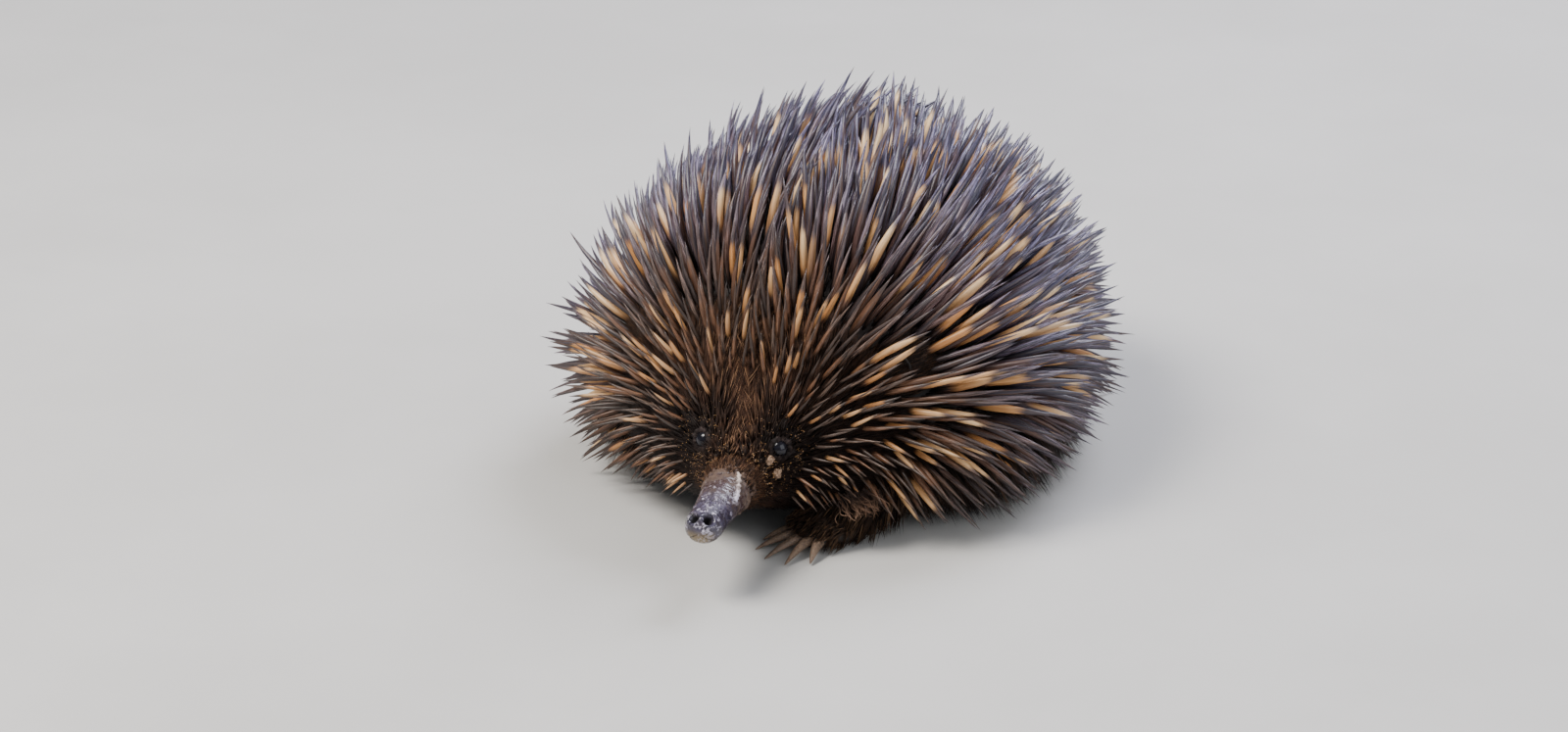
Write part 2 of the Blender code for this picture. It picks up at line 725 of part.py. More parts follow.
def make_snout(into):
    """The bare beak, with its nostrils on top near the tip and the short line of the mouth below them."""
    rings = []
    for i in range(BEAK_RINGS + 1):
        rings.append([beak_point(i / BEAK_RINGS, FULL_TURN * k / BEAK_SIDES) for k in range(BEAK_SIDES)])
    snout = loft("snout", rings, into)
    cutters = collection_named("snout_cutters")
    for side, word in ((1, "left"), (-1, "right")):
        place = turned((side * NOSTRIL_PLACE.x, NOSTRIL_PLACE.y, NOSTRIL_PLACE.z))
        add_ball("nostril_" + word, place, NOSTRIL_SIZE, cutters, 10, 6)
    mouth_groove(cutters)
    boolean(snout, cutters, "DIFFERENCE")
    keep_largest(snout)
    return snout


def make_tail(trunk, into):
    """The short blunt tail, cut to sit on the rump."""
    rings = []
    for i in range(TAIL_RINGS + 1):
        y, level, half_width, half_height = along(TAIL, i / TAIL_RINGS)
        centre, across, up = Vector((0, y, level)), Vector((1, 0, 0)), Vector((0, TAIL_SLANT, 1))
        rings.append(ring_round(centre, across, up, half_width, half_height, TAIL_SIDES))
    tail = loft("tail", rings, into)
    cutters = collection_named("tail_cutters")
    grown(trunk, GAP, cutters)
    boolean(tail, cutters, "DIFFERENCE")
    keep_largest(tail)
    return tail


def add_tail_spines(tail, thicket):
    """Small spines on the tail's upper side, where the spines of the rump leave them room."""
    pieces = collection_named("tail_pieces")
    for y in TAIL_SPINE_ROWS:
        _, level, half_width, half_height = along(TAIL, (y - TAIL[0][0]) / (TAIL[-1][0] - TAIL[0][0]))
        for angle in TAIL_SPINE_ANGLES:
            out = Vector((sin(angle), 0, cos(angle)))
            here = Vector((half_width * out.x, y, level + half_height * out.z))
            way = (out * TAIL_SPINE_RISE + Vector((0, 1, -TAIL_SLANT))).normalized()
            length = way * TAIL_SPINE_LENGTH
            line = (here - out * ROOT_DEPTH, here + length * SPINE_WIDEST, here + length)
            if thicket.clearance((here, line[2]), TAIL_SPINE_RADIUS) > 2 * GAP:
                spine_mesh(f"tail_spine_{len(pieces.objects)}", line, TAIL_SPINE_RADIUS, pieces)
    boolean(tail, pieces, "UNION")
    keep_largest(tail)


def limb_rings(path, radii):
    """Rings of a tapered limb along a smooth curve through its path's points."""
    table = [(*point, radius) for point, radius in zip(path, radii)]
    rings = []
    for i in range(LEG_RINGS + 1):
        t = i / LEG_RINGS
        *centre, radius = along(table, t)
        way = Vector((along(table, t + 0.02) - along(table, t - 0.02))[:3]).normalized()
        side = way.cross(UP).normalized()
        rings.append(ring_round(Vector(centre), side, side.cross(way), radius, radius, LEG_SIDES))
    return rings


def toes(leg):
    """For each of a paw's five digits: where its toe starts and ends, and the way that it points."""
    paw = Vector(leg["path"][-1])
    middle = Vector((paw.x, paw.y, TOE_HEIGHT))
    found = []
    for i in range(len(leg["claws"])):
        angle = leg["heading"] + (i - 2) * TOE_FAN_STEP
        way = Vector((sin(angle), -cos(angle), 0))
        found.append((middle + way * TOE_FROM, middle + way * TOE_REACH, way))
    return found


def make_leg(name, leg, trunk, into):
    """One leg with its paw and toes, cut to meet the trunk above and flat on the floor below."""
    limb = loft(name, limb_rings(leg["path"], leg["radii"]), into)
    pieces = collection_named(name + "_pieces")
    paw = leg["path"][-1]
    add_ball(name + "_paw", (paw[0], paw[1], PAW_HEIGHT), PAW_SIZE, pieces, 12, 7, leg["heading"])
    for number, (start, end, way) in enumerate(toes(leg)):
        side = way.cross(UP)
        rings = []
        for share, wide in TOE_SECTIONS:
            radius = TOE_RADIUS * wide
            rings.append(ring_round(start.lerp(end, share), side, UP, radius, radius * 1.1, TOE_SIDES))
        loft(f"{name}_toe_{number}", rings, pieces)
    boolean(limb, pieces, "UNION")
    cutters = collection_named(name + "_cutters")
    grown(trunk, GAP, cutters)
    bm = bmesh.new()
    bmesh.ops.create_cube(bm, size=FLOOR_BLOCK)
    bmesh.ops.translate(bm, vec=(paw[0], paw[1], -FLOOR_BLOCK / 2), verts=bm.verts)
    object_from(name + "_floor", bm, cutters)
    boolean(limb, cutters, "DIFFERENCE")
    keep_largest(limb)
    return limb


def make_claw(name, end, way, length, half_width, arch, into):
    """A tapered claw that starts a thin gap beyond its toe and bends down to the floor."""
    side = way.cross(UP)
    rings = []
    for i in range(CLAW_RINGS):
        share = i / CLAW_RINGS
        wide = half_width * (1 - share) ** CLAW_TAPER
        height = end.z + (CLAW_TIP_HEIGHT - end.z) * share**1.3 + arch * sin(math.pi * share)
        centre = Vector((end.x, end.y, height)) + way * (GAP + length * share)
        rings.append(ring_round(centre, side, UP, wide, wide * 0.9, CLAW_SIDES))
    rings.append([Vector((end.x, end.y, CLAW_TIP_HEIGHT)) + way * (GAP + length)])
    return loft(name, rings, into)


def finish(obj, kind):
    """Gives a piece its own material and shifts it into the final frame."""
    obj.data.materials.clear()
    obj.data.materials.append(material_named(obj.name, kind))
    obj.data.transform(Matrix.Translation(TO_ORIGIN))


def main():
    clear_scene()
    animal = collection_named("echidna")
    helpers = collection_named("helpers")
    trunk = loft("trunk", trunk_rings(), helpers)

    legs = {name: make_leg(name, leg, trunk, animal) for name, leg in LEGS.items()}
    ears = [make_ear("ear_" + word, side, trunk, animal) for side, word in ((1, "left"), (-1, "right"))]
    tail = make_tail(trunk, animal)
    guards = [tree_of(obj) for obj in (*legs.values(), *ears, tail)]
    placed, thicket = plant_spines(tree_of(trunk), guards)
    print("spines:", {node: len(lines) for node, lines in placed.items()})

    finish(make_head(trunk, placed["head"], animal), "head")
    finish(make_torso(trunk, placed["torso"], animal), "torso")
    finish(make_snout(animal), "snout")
    add_tail_spines(tail, thicket)
    finish(tail, "tail")
    for ear in ears:
        finish(ear, "ear")
    for side, word in ((1, "left"), (-1, "right")):
        eye = add_ball("eye_" + word, eye_frame(side)[0], Vector((1, 1, 1)) * EYE_RADIUS, animal)
        eye.data.shade_smooth()
        finish(eye, "eye")
    for name, leg in LEGS.items():
        for number, (_, end, way) in enumerate(toes(leg)):
            claw_name = f"claw_{name}_{number + 1}"
            size = (leg["claws"][number], leg["claw_half_width"], leg["claw_arch"])
            finish(make_claw(claw_name, end, way, *size, animal), "claw")
        finish(legs[name], "leg")
    bpy.data.objects.remove(trunk, do_unlink=True)
    bpy.data.collections.remove(helpers)


if __name__ == "__main__":
    main()
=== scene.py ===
# %% [markdown]
# # A short-beaked echidna, life size, in mid-step
# The animal is a low dome of thick, sharp spines over a furred body, with a bare slate-grey beak.
# The fixed frame holds plain faceted solids of its parts. Here they get their looks: one skin, well
# over two thousand spines, fur in fine tufts, a beak caked with dried mud, eyes and claws. All of
# it is ordinary mesh, so that it can be exported and looked at from any side.

import json
import math
from math import radians

import bmesh
import bpy
import numpy as np
from mathutils import Matrix, Vector, kdtree, noise

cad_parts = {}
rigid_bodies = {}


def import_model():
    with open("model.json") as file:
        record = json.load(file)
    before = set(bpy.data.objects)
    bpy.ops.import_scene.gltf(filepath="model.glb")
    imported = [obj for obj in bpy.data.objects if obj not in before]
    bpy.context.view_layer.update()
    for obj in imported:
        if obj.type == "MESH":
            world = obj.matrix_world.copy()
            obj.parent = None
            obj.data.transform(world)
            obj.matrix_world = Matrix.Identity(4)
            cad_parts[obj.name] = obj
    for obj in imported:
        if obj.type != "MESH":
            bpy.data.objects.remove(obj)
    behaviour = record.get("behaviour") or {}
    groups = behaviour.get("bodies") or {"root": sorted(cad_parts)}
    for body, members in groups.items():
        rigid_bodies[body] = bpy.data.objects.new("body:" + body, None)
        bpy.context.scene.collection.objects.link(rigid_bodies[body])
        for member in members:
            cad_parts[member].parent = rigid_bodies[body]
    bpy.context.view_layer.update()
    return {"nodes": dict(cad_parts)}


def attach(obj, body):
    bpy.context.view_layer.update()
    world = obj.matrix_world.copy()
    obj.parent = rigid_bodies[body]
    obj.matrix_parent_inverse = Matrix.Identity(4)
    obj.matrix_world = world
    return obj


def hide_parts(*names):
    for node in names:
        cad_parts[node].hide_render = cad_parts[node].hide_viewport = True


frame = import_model()
print("solids in the frame:", len(frame["nodes"]))

# %% [markdown]
# ## The camera
# The photo looks down at the animal from its front left: 23 degrees round from straight ahead and
# 22 degrees above the floor. An 85 mm lens keeps the perspective gentle. A matrix of three
# directions, to the right of the picture, up in it and into it, sets the camera, because the photo
# shows the animal below and right of the middle, where an aim constraint would centre it.

# %% Place the camera
PHOTO_WIDTH, PHOTO_HEIGHT = 1600, 747
PIXELS_PER_METRE = 2375
CAMERA_AZIMUTH = radians(23)
CAMERA_HEIGHT = radians(22)
LENS, SENSOR = 85, 36
# The photo's pixel where the floor under the animal's middle lies, and that point's rise in the picture.
FLOOR_PIXEL = (852, 570)
FLOOR_RISE = -0.0455
# The shift that brought the middle of the solids' box to the frame's origin.
TO_ORIGIN = Vector((0.0, 0.0007, 0.0))
AIM_DEPTH_POINT = Vector((0, 0, 0.07))


def place_camera():
    a, e = CAMERA_AZIMUTH, CAMERA_HEIGHT
    right = Vector((math.cos(a), math.sin(a), 0))
    up = Vector((-math.sin(a) * math.sin(e), math.cos(a) * math.sin(e), math.cos(e)))
    into = up.cross(right)
    distance = LENS / SENSOR * PHOTO_WIDTH / PIXELS_PER_METRE
    across = (PHOTO_WIDTH / 2 - FLOOR_PIXEL[0]) / PIXELS_PER_METRE
    above = (FLOOR_PIXEL[1] - PHOTO_HEIGHT / 2) / PIXELS_PER_METRE + FLOOR_RISE
    target = right * across + up * above + into * AIM_DEPTH_POINT.dot(into) + TO_ORIGIN
    camera = bpy.data.objects.new("camera", bpy.data.cameras.new("camera"))
    camera.data.lens, camera.data.sensor_width = LENS, SENSOR
    rotation = Matrix((right, up, -into)).transposed().to_4x4()
    camera.matrix_world = Matrix.Translation(target - into * distance) @ rotation
    bpy.context.scene.collection.objects.link(camera)
    bpy.context.scene.camera = camera
    return distance


print(f"camera {place_camera():.2f} m from the animal")

# %% [markdown]
# ## Small tools
# Thousands of spines and hairs are laid out with numpy arrays: all their roots, directions and
# lengths are worked out at once, and each group becomes one joined mesh. Geometry Nodes could
# scatter instances, but arrays let a formula aim each hair by the animal's own anatomy.

# %% Helpers for arrays and meshes
UP = np.array((0.0, 0.0, 1.0))
LEVEL = np.array((1.0, 1.0, 0.0))
ORIGIN_SHIFT = np.array(TO_ORIGIN)
FULL_TURN = 2 * math.pi


def unit(v):
    return v / np.maximum(np.linalg.norm(v, axis=-1, keepdims=True), 1e-9)


def smooth(x):
    x = np.clip(x, 0, 1)
    return x * x * (3 - 2 * x)


def fade_in(x, start, reach):
    """From 0 at the start to 1 a reach further on, smoothly."""
    return smooth((x - start) / reach)


def distances(points, place):
    return np.linalg.norm(points - place, axis=1)


def mix(a, b, share):
    return a + (b - a) * share


def along(table, t):
    """The table's rows at t, from 0 at its first row to 1 at its last, on a smooth curve through all."""
    table, t = np.asarray(table, float), np.atleast_1d(t)
    last = len(table) - 1
    place = np.clip(t, 0, 1) * last
    i = np.minimum(place.astype(int), last - 1)
    f = (place - i)[:, None]
    a, b, c, d = (table[np.clip(i + k, 0, last)] for k in (-1, 0, 1, 2))
    return 0.5 * (2 * b + (c - a) * f + (2 * a - 5 * b + 4 * c - d) * f**2 + (3 * b - a - 3 * c + d) * f**3)


def linked(name, data):
    """A new object of the scene."""
    made = bpy.data.objects.new(name, data)
    bpy.context.scene.collection.objects.link(made)
    return made


def mesh_object(name, points, quads, triangles):
    """A smooth-shaded mesh object from arrays of points and of its faces' corners."""
    quads, triangles = np.reshape(quads, (-1, 4)), np.reshape(triangles, (-1, 3))
    mesh = bpy.data.meshes.new(name)
    mesh.vertices.add(len(points))
    mesh.vertices.foreach_set("co", np.asarray(points, np.float32).ravel())
    corners = np.concatenate([quads.ravel(), triangles.ravel()])
    sizes = np.concatenate([np.full(len(quads), 4), np.full(len(triangles), 3)])
    mesh.loops.add(len(corners))
    mesh.loops.foreach_set("vertex_index", corners.astype(np.int32))
    mesh.polygons.add(len(sizes))
    mesh.polygons.foreach_set("loop_start", np.concatenate([[0], np.cumsum(sizes)[:-1]]).astype(np.int32))
    mesh.update(calc_edges=True)
    mesh.validate()
    mesh.shade_smooth()
    return linked(name, mesh)


def store(mesh, name, vectors):
    """Keeps three numbers with each point, for the materials."""
    layer = mesh.attributes.new(name, "FLOAT_VECTOR", "POINT")
    layer.data.foreach_set("vector", np.asarray(vectors, np.float32).ravel())


def rings_of_faces(rings, sides):
    """The faces between the equal rings of a tube, by their corners' numbers, and each ring's own numbers."""
    k = np.arange(sides)
    beside = (k + 1) % sides
    row = np.arange(rings - 1)[:, None] * sides
    quads = np.stack([row + k, row + beside, row + sides + beside, row + sides + k], axis=2)
    return quads.reshape(-1, 4), k, beside


def tube(name, rings):
    """A closed mesh through equal rings of points, (rings, sides, 3), with each end drawn to its middle."""
    rings = np.asarray(rings)
    count, sides = rings.shape[:2]
    quads, k, beside = rings_of_faces(count, sides)
    points = [rings.reshape(-1, 3), rings[:1].mean(axis=1), rings[-1:].mean(axis=1)]
    first, last, top = count * sides, count * sides + 1, (count - 1) * sides
    start = np.stack([beside, k, np.full(sides, first)], axis=1)
    end = np.stack([top + k, top + beside, np.full(sides, last)], axis=1)
    return mesh_object(name, np.concatenate(points), quads, np.concatenate([start, end]))


def object_from(name, bm):
    """An object from a bmesh, which is freed."""
    mesh = bpy.data.meshes.new(name)
    bm.to_mesh(mesh)
    bm.free()
    return linked(name, mesh)


def triangle_count(obj):
    obj.data.calc_loop_triangles()
    return len(obj.data.loop_triangles)


print("helpers ready")

# %% [markdown]
# ## The body's form
# Face, trunk and rump are one form: elliptical sections along the body, read on a smooth curve from
# the short table that the solids have. Two numbers, the place along the body and the angle from the
# top of the back, give a spine's root, its outward direction and its lie. A sculpted mesh could
# carry the spines as well, but then their order would have to be painted by hand.

# %% Sections of head and trunk
# (y, height of the widest level, half width, rise above that level, drop below it)
TRUNK = (
    (-0.1190, 0.0340, 0.0118, 0.0104, 0.0092),
    (-0.1150, 0.0350, 0.0148, 0.0140, 0.0118),
    (-0.1080, 0.0368, 0.0210, 0.0205, 0.0155),
    (-0.0980, 0.0395, 0.0335, 0.0315, 0.0205),
    (-0.0840, 0.0425, 0.0510, 0.0445, 0.0260),
    (-0.0640, 0.0450, 0.0710, 0.0575, 0.0310),
    (-0.0360, 0.0465, 0.0845, 0.0690, 0.0350),
    (-0.0020, 0.0475, 0.0880, 0.0765, 0.0370),
    (0.0360, 0.0475, 0.0850, 0.0780, 0.0370),
    (0.0720, 0.0465, 0.0745, 0.0690, 0.0350),
    (0.0990, 0.0445, 0.0565, 0.0515, 0.0295),
    (0.1140, 0.0420, 0.0355, 0.0315, 0.0205),
    (0.1210, 0.0400, 0.0140, 0.0115, 0.0080),
)
BELLY_FLATNESS = 0.80
NECK_Y, NECK_BLEND_FROM, NECK_BLEND_TO = -0.078, -0.062, -0.112
HEAD_TURN = radians(6.5)
# No section is smaller than this, and directions are measured over a step this long.
SMALLEST_HALF, FORM_STEP = 0.001, 0.004
STATIONS = np.linspace(0, 1, 400)
STATION_Y = along(TRUNK, STATIONS)[:, 0]


def t_at(y):
    """The place along the trunk, from 0 to 1, whose section is at y."""
    return np.interp(y, STATION_Y, STATIONS)


def turned(p):
    """Points of the straight animal after the head has swung to its left, in the frame's own place."""
    p = np.asarray(p, float)
    angle = HEAD_TURN * smooth((NECK_BLEND_FROM - p[..., 1]) / (NECK_BLEND_FROM - NECK_BLEND_TO))
    x, y = p[..., 0], p[..., 1] - NECK_Y
    swung_x, swung_y = np.cos(angle) * x - np.sin(angle) * y, np.sin(angle) * x + np.cos(angle) * y + NECK_Y
    return np.stack([swung_x, swung_y, p[..., 2]], axis=-1) + ORIGIN_SHIFT


def trunk_points(t, angle, inset=0.0):
    """Points of the body's form: t along it, angle from the top of the back, + to the animal's left."""
    y, level, half_width, rise, drop = along(TRUNK, t).T
    across, up = np.sin(angle), np.cos(angle)
    below = up < 0
    across = np.where(below, np.sign(across) * np.abs(across) ** BELLY_FLATNESS, across)
    up = np.where(below, -(np.abs(up) ** BELLY_FLATNESS), up)
    width = np.maximum(half_width - inset, SMALLEST_HALF)
    height = np.maximum(np.where(below, drop, rise) - inset, SMALLEST_HALF)
    return turned(np.stack([width * across, y, level + height * up], axis=-1))


def trunk_frames(t, angle):
    """The form's points there, with their outward, backward and downward directions."""
    here = trunk_points(t, angle)
    ahead, behind = np.maximum(t - FORM_STEP, 0), np.minimum(t + FORM_STEP, 1)
    back = unit(trunk_points(behind, angle) - trunk_points(ahead, angle))
    side = np.where(angle < 0, -1.0, 1.0)
    down = unit(trunk_points(t, angle + side * FORM_STEP) - trunk_points(t, angle - side * FORM_STEP))
    normal = unit(np.cross(down, back) * side[:, None])
    return here, normal, back, down


def frame_at(y, angle):
    """The same for one place: its point, and the outward, backward and downward directions there."""
    return [row[0] for row in trunk_frames(t_at(np.array([y])), np.array([angle]))]


EYE_Y, EYE_ANGLE = -0.1092, radians(57)
EYE_RADIUS, EYE_DEPTH, EYE_FORWARD_TILT = 0.0043, 0.0022, 0.12


def eye_frame(side):
    """The eye's centre, the direction it looks in, and the backward and downward directions there."""
    here, normal, back, down = frame_at(EYE_Y, side * EYE_ANGLE)
    look = unit(normal - back * EYE_FORWARD_TILT)
    return here - look * EYE_DEPTH, look, back, down


crown = trunk_points(np.array([0.5]), np.array([0.0]))[0]
print(f"back is {crown[2] * 1000:.0f} mm above the floor under its spines")

# %% [markdown]
# ## One skin
# Under the coat lies one dark skin. Body, legs, tail and the low cups of the ears are simple closed
# forms that run into each other. A voxel remesh fuses them and a little smoothing rounds the joins,
# where boolean unions would keep a hard crease. The skin lies a few millimetres inside the solids,
# which leaves the coat its depth.

# %% The body's core
BODY_INSET, FACE_INSET = 0.0045, 0.0010
SPINE_FRONT_Y, FULL_LENGTH_Y = -0.0965, -0.045
# The core's rings crowd a little towards the face, where the form is finest.
CORE_RINGS, CORE_SIDES, CORE_CROWDING = 110, 96, 1.1


def growth(y):
    """How far the coat at y is grown, from 0 at the face to 1 on the back."""
    return smooth((y - SPINE_FRONT_Y) / (FULL_LENGTH_Y - SPINE_FRONT_Y))


def skin_inset(y):
    """How deep the skin lies under the body's form."""
    return mix(FACE_INSET, BODY_INSET, growth(y))


def body_core():
    angles = np.linspace(0, FULL_TURN, CORE_SIDES, endpoint=False)
    rings = []
    for t in np.linspace(0, 1, CORE_RINGS) ** CORE_CROWDING:
        y = along(TRUNK, t)[0, 0]
        rings.append(trunk_points(np.full(CORE_SIDES, t), angles, skin_inset(y)))
    return tube("body_core", rings)


def ring(centre, side, up, half_width, half_height, sides):
    a = np.linspace(0, FULL_TURN, sides, endpoint=False)[:, None]
    return centre + side * half_width * np.cos(a) + up * half_height * np.sin(a)


print(f"the skin lies {FACE_INSET * 1000:.0f} mm deep on the face, {BODY_INSET * 1000:.1f} mm on the back")

# %% Legs, paws and toes
LEG_INSET = 0.0020
FORE_RADII = (0.0190, 0.0170, 0.0140, 0.0120)
HIND_RADII = (0.0220, 0.0190, 0.0150, 0.0120)
FORE_CLAWS = (0.0110, 0.0165, 0.0180, 0.0165, 0.0110)
HIND_CLAWS = (0.0080, 0.0270, 0.0210, 0.0120, 0.0085)
# Half width and arch of a claw on a forefoot and on a hind foot.
FORE_CLAW_SHAPE, HIND_CLAW_SHAPE = (0.0021, 0.0004), (0.0017, 0.0012)
# The path of each leg from inside the trunk to the paw, its radius along the way, the paw's heading
# from straight ahead towards the animal's left, its claws' lengths, half width and arch.
LEGS = {
    "foreleg_left": (
        ((0.042, -0.026, 0.042), (0.050, -0.048, 0.032), (0.045, -0.070, 0.020), (0.033, -0.086, 0.0095)),
        FORE_RADII, radians(-28), FORE_CLAWS, *FORE_CLAW_SHAPE,
    ),
    "foreleg_right": (
        ((-0.044, 0.010, 0.042), (-0.060, 0.006, 0.032), (-0.061, -0.002, 0.020), (-0.056, -0.010, 0.0095)),
        FORE_RADII, radians(12), FORE_CLAWS, *FORE_CLAW_SHAPE,
    ),
    "hindleg_left": (
        ((0.042, 0.062, 0.044), (0.056, 0.070, 0.031), (0.061, 0.080, 0.020), (0.063, 0.086, 0.0095)),
        HIND_RADII, radians(132), HIND_CLAWS[::-1], *HIND_CLAW_SHAPE,
    ),
    "hindleg_right": (
        ((-0.042, 0.042, 0.044), (-0.058, 0.047, 0.031), (-0.064, 0.054, 0.020), (-0.066, 0.060, 0.0095)),
        HIND_RADII, radians(-128), HIND_CLAWS, *HIND_CLAW_SHAPE,
    ),
}
LEG_RINGS, LEG_SIDES, WAY_STEP = 24, 32, 0.02
PAW_SIZE = np.array((0.0145, 0.0130, 0.0095))
PAW_HEIGHT, PAW_INSET, SOLE_HEIGHT = 0.0074, 0.0008, 0.0001
TOE_RADIUS, TOE_FROM, TOE_REACH, TOE_HEIGHT = 0.0037, 0.0060, 0.0163, 0.0050
TOE_FAN_STEP = radians(17)
# Places along a toe, with its thickness there as a share of its radius. A toe is a tenth taller than wide.
TOE_PROFILE = ((0.0, 0.9), (0.35, 0.95), (0.6, 0.98), (0.85, 0.92), (1.0, 0.62))
TOE_TALLER, TOE_SIDES = 1.1, 20


def limb_frames(path, radii, t):
    """Centre, radius and directions of a leg at each t from the trunk to the paw."""
    table = [(*point, radius) for point, radius in zip(path, radii)]
    rows = along(table, t)
    after, before = along(table, np.asarray(t) + WAY_STEP), along(table, np.asarray(t) - WAY_STEP)
    way = unit(after[:, :3] - before[:, :3])
    side = unit(np.cross(way, UP))
    return rows[:, :3] + ORIGIN_SHIFT, rows[:, 3], way, side, np.cross(side, way)


def digit_ways(heading):
    """The level direction that each of a paw's five digits points in."""
    angles = heading + (np.arange(5) - 2) * TOE_FAN_STEP
    return np.stack([np.sin(angles), -np.cos(angles), np.zeros(5)], axis=1)


def paw_middle(path):
    return np.array((path[-1][0], path[-1][1], 0.0)) + ORIGIN_SHIFT


def leg_forms(name, path, radii, heading):
    """A leg, its paw and its five toes, as closed forms that overlap."""
    centres, radius, _, side, up = limb_frames(path, radii, np.linspace(0, 1, LEG_RINGS))
    radius = radius - LEG_INSET
    rings = [ring(c, s, u, r, r, LEG_SIDES) for c, r, s, u in zip(centres, radius, side, up)]
    made = [tube(name + "_limb", rings)]
    middle = paw_middle(path)
    bm = bmesh.new()
    bmesh.ops.create_uvsphere(bm, u_segments=32, v_segments=20, radius=1.0)
    bmesh.ops.scale(bm, vec=PAW_SIZE - PAW_INSET, verts=bm.verts)
    bmesh.ops.rotate(bm, matrix=Matrix.Rotation(heading, 3, "Z"), verts=bm.verts)
    bmesh.ops.translate(bm, vec=middle + UP * PAW_HEIGHT, verts=bm.verts)
    for vert in bm.verts:
        vert.co.z = max(vert.co.z, SOLE_HEIGHT)
    made.append(object_from(name + "_paw", bm))
    for number, way in enumerate(digit_ways(heading)):
        across = np.cross(way, UP)
        rings = []
        for share, wide in TOE_PROFILE:
            centre = middle + UP * TOE_HEIGHT + way * mix(TOE_FROM, TOE_REACH, share)
            radius = TOE_RADIUS * wide
            rings.append(ring(centre, across, UP, radius, radius * TOE_TALLER, TOE_SIDES))
        made.append(tube(f"{name}_toe_{number}", rings))
    return made


print("legs:", ", ".join(LEGS))

# %% Tail and ears
TAIL = (
    (0.1060, 0.0385, 0.0160, 0.0120),
    (0.1200, 0.0350, 0.0130, 0.0100),
    (0.1330, 0.0305, 0.0095, 0.0072),
    (0.1400, 0.0280, 0.0060, 0.0047),
    (0.1430, 0.0270, 0.0018, 0.0015),
)
TAIL_RINGS, TAIL_SIDES = 16, 32
# The tail's rings lean back at their top, by this share of their height.
TAIL_LEAN = 0.25
EAR_Y, EAR_ANGLE = -0.070, radians(57)
EAR_RADIUS, EAR_STAND, EAR_ROOT, EAR_SWEEP = 0.0048, 0.0042, 0.0050, radians(224)
EAR_STRETCH, EAR_THICKNESS = 1.4, 0.0011
# The cup's rim sinks by this share of its height towards the two ends of the roll.
EAR_ENDS_SINK = 0.7
EAR_RINGS, EAR_SIDES = 24, 14


def tail_form():
    rings = []
    for t in np.linspace(0, 1, TAIL_RINGS):
        y, level, half_width, half_height = along(TAIL, t)[0]
        centre = np.array((0, y, level)) + ORIGIN_SHIFT
        across, upright = np.array((1, 0, 0)), np.array((0, TAIL_LEAN, 1))
        rings.append(ring(centre, across, upright, half_width, half_height, TAIL_SIDES))
    return tube("tail_form", rings)


def ear_place(side):
    """The ear's place on the head with its outward, backward and downward directions."""
    return frame_at(EAR_Y, side * EAR_ANGLE)


def ear_form(side):
    """The low cup of skin behind the ear's slit: a bent roll that opens forwards."""
    here, normal, back, down = ear_place(side)
    rings = []
    for share in np.linspace(-0.5, 0.5, EAR_RINGS):
        a = EAR_SWEEP * share
        low = 1 - EAR_ENDS_SINK * (2 * share) ** 2
        rim = here + back * (EAR_RADIUS * math.cos(a)) + down * (EAR_RADIUS * EAR_STRETCH * math.sin(a))
        out = unit(back * math.cos(a) + down * math.sin(a))
        middle = rim + normal * (EAR_STAND * low - EAR_ROOT) / 2
        rings.append(ring(middle, out, normal, EAR_THICKNESS, (EAR_ROOT + EAR_STAND * low) / 2, EAR_SIDES))
    return tube("ear_form", rings)


print(f"tail ends {TAIL[-1][0] * 1000:.0f} mm behind the animal's middle")

# %% Fuse them into one skin
SKIN_VOXEL = 0.0017
SOFTENING, SOFTENING_PASSES = 0.5, 4


def joined(name, parts):
    """One object from several, as a plain join of their meshes."""
    bm = bmesh.new()
    for part in parts:
        bm.from_mesh(part.data)
        bpy.data.objects.remove(part, do_unlink=True)
    return object_from(name, bm)


def applied(obj):
    """Turns an object's modifiers into its mesh."""
    bpy.context.view_layer.update()
    made = bpy.data.meshes.new_from_object(obj.evaluated_get(bpy.context.evaluated_depsgraph_get()))
    obj.modifiers.clear()
    obj.data = made
    return obj


def make_skin():
    forms = [body_core(), tail_form(), ear_form(1), ear_form(-1)]
    for name, (path, radii, heading, *_) in LEGS.items():
        forms += leg_forms(name, path, radii, heading)
    skin = joined("skin", forms)
    remesh = skin.modifiers.new("fuse", "REMESH")
    remesh.mode = "VOXEL"
    remesh.voxel_size = SKIN_VOXEL
    remesh.use_smooth_shade = True
    soften = skin.modifiers.new("soften", "SMOOTH")
    soften.factor = SOFTENING
    soften.iterations = SOFTENING_PASSES
    return applied(skin)


skin = make_skin()
print("skin:", triangle_count(skin), "triangles")

# %% [markdown]
# ## Strands: one way to make a spine or a hair
# A spine and a hair are the same thing at two sizes, a closed rod that tapers to a point along a
# bent line. One function makes thousands at once. Each point keeps two small sets of numbers for
# the material: how far along it is with two draws of chance, and where it is round the rod. Each
# strand also gets a tiny patch on the map called OFBake, at its root's place on the unrolled skin,
# which is where its colours are kept when the model is exported.

# %% Strand meshes
# The size of a strand's patch, as a share of the map.
PATCH = 0.003
# A strand is nearly upright when its direction's rise is over this.
NEARLY_UPRIGHT = 0.9
# Shares of the map's height for the body, the legs, and the tail and ears.
BODY_BAND, LEG_BAND, TAIL_BAND = (0.02, 0.78), (0.80, 0.90), (0.92, 0.98)


def body_patch(t, angle):
    """Where a root of the body lies on the unrolled skin."""
    return np.stack([(angle / FULL_TURN) % 1.0, mix(*BODY_BAND, t)], axis=-1)


def tail_patch(t, turn):
    """The same for a root of the tail."""
    return np.stack([turn / FULL_TURN / 4, mix(*TAIL_BAND, t)], axis=1)


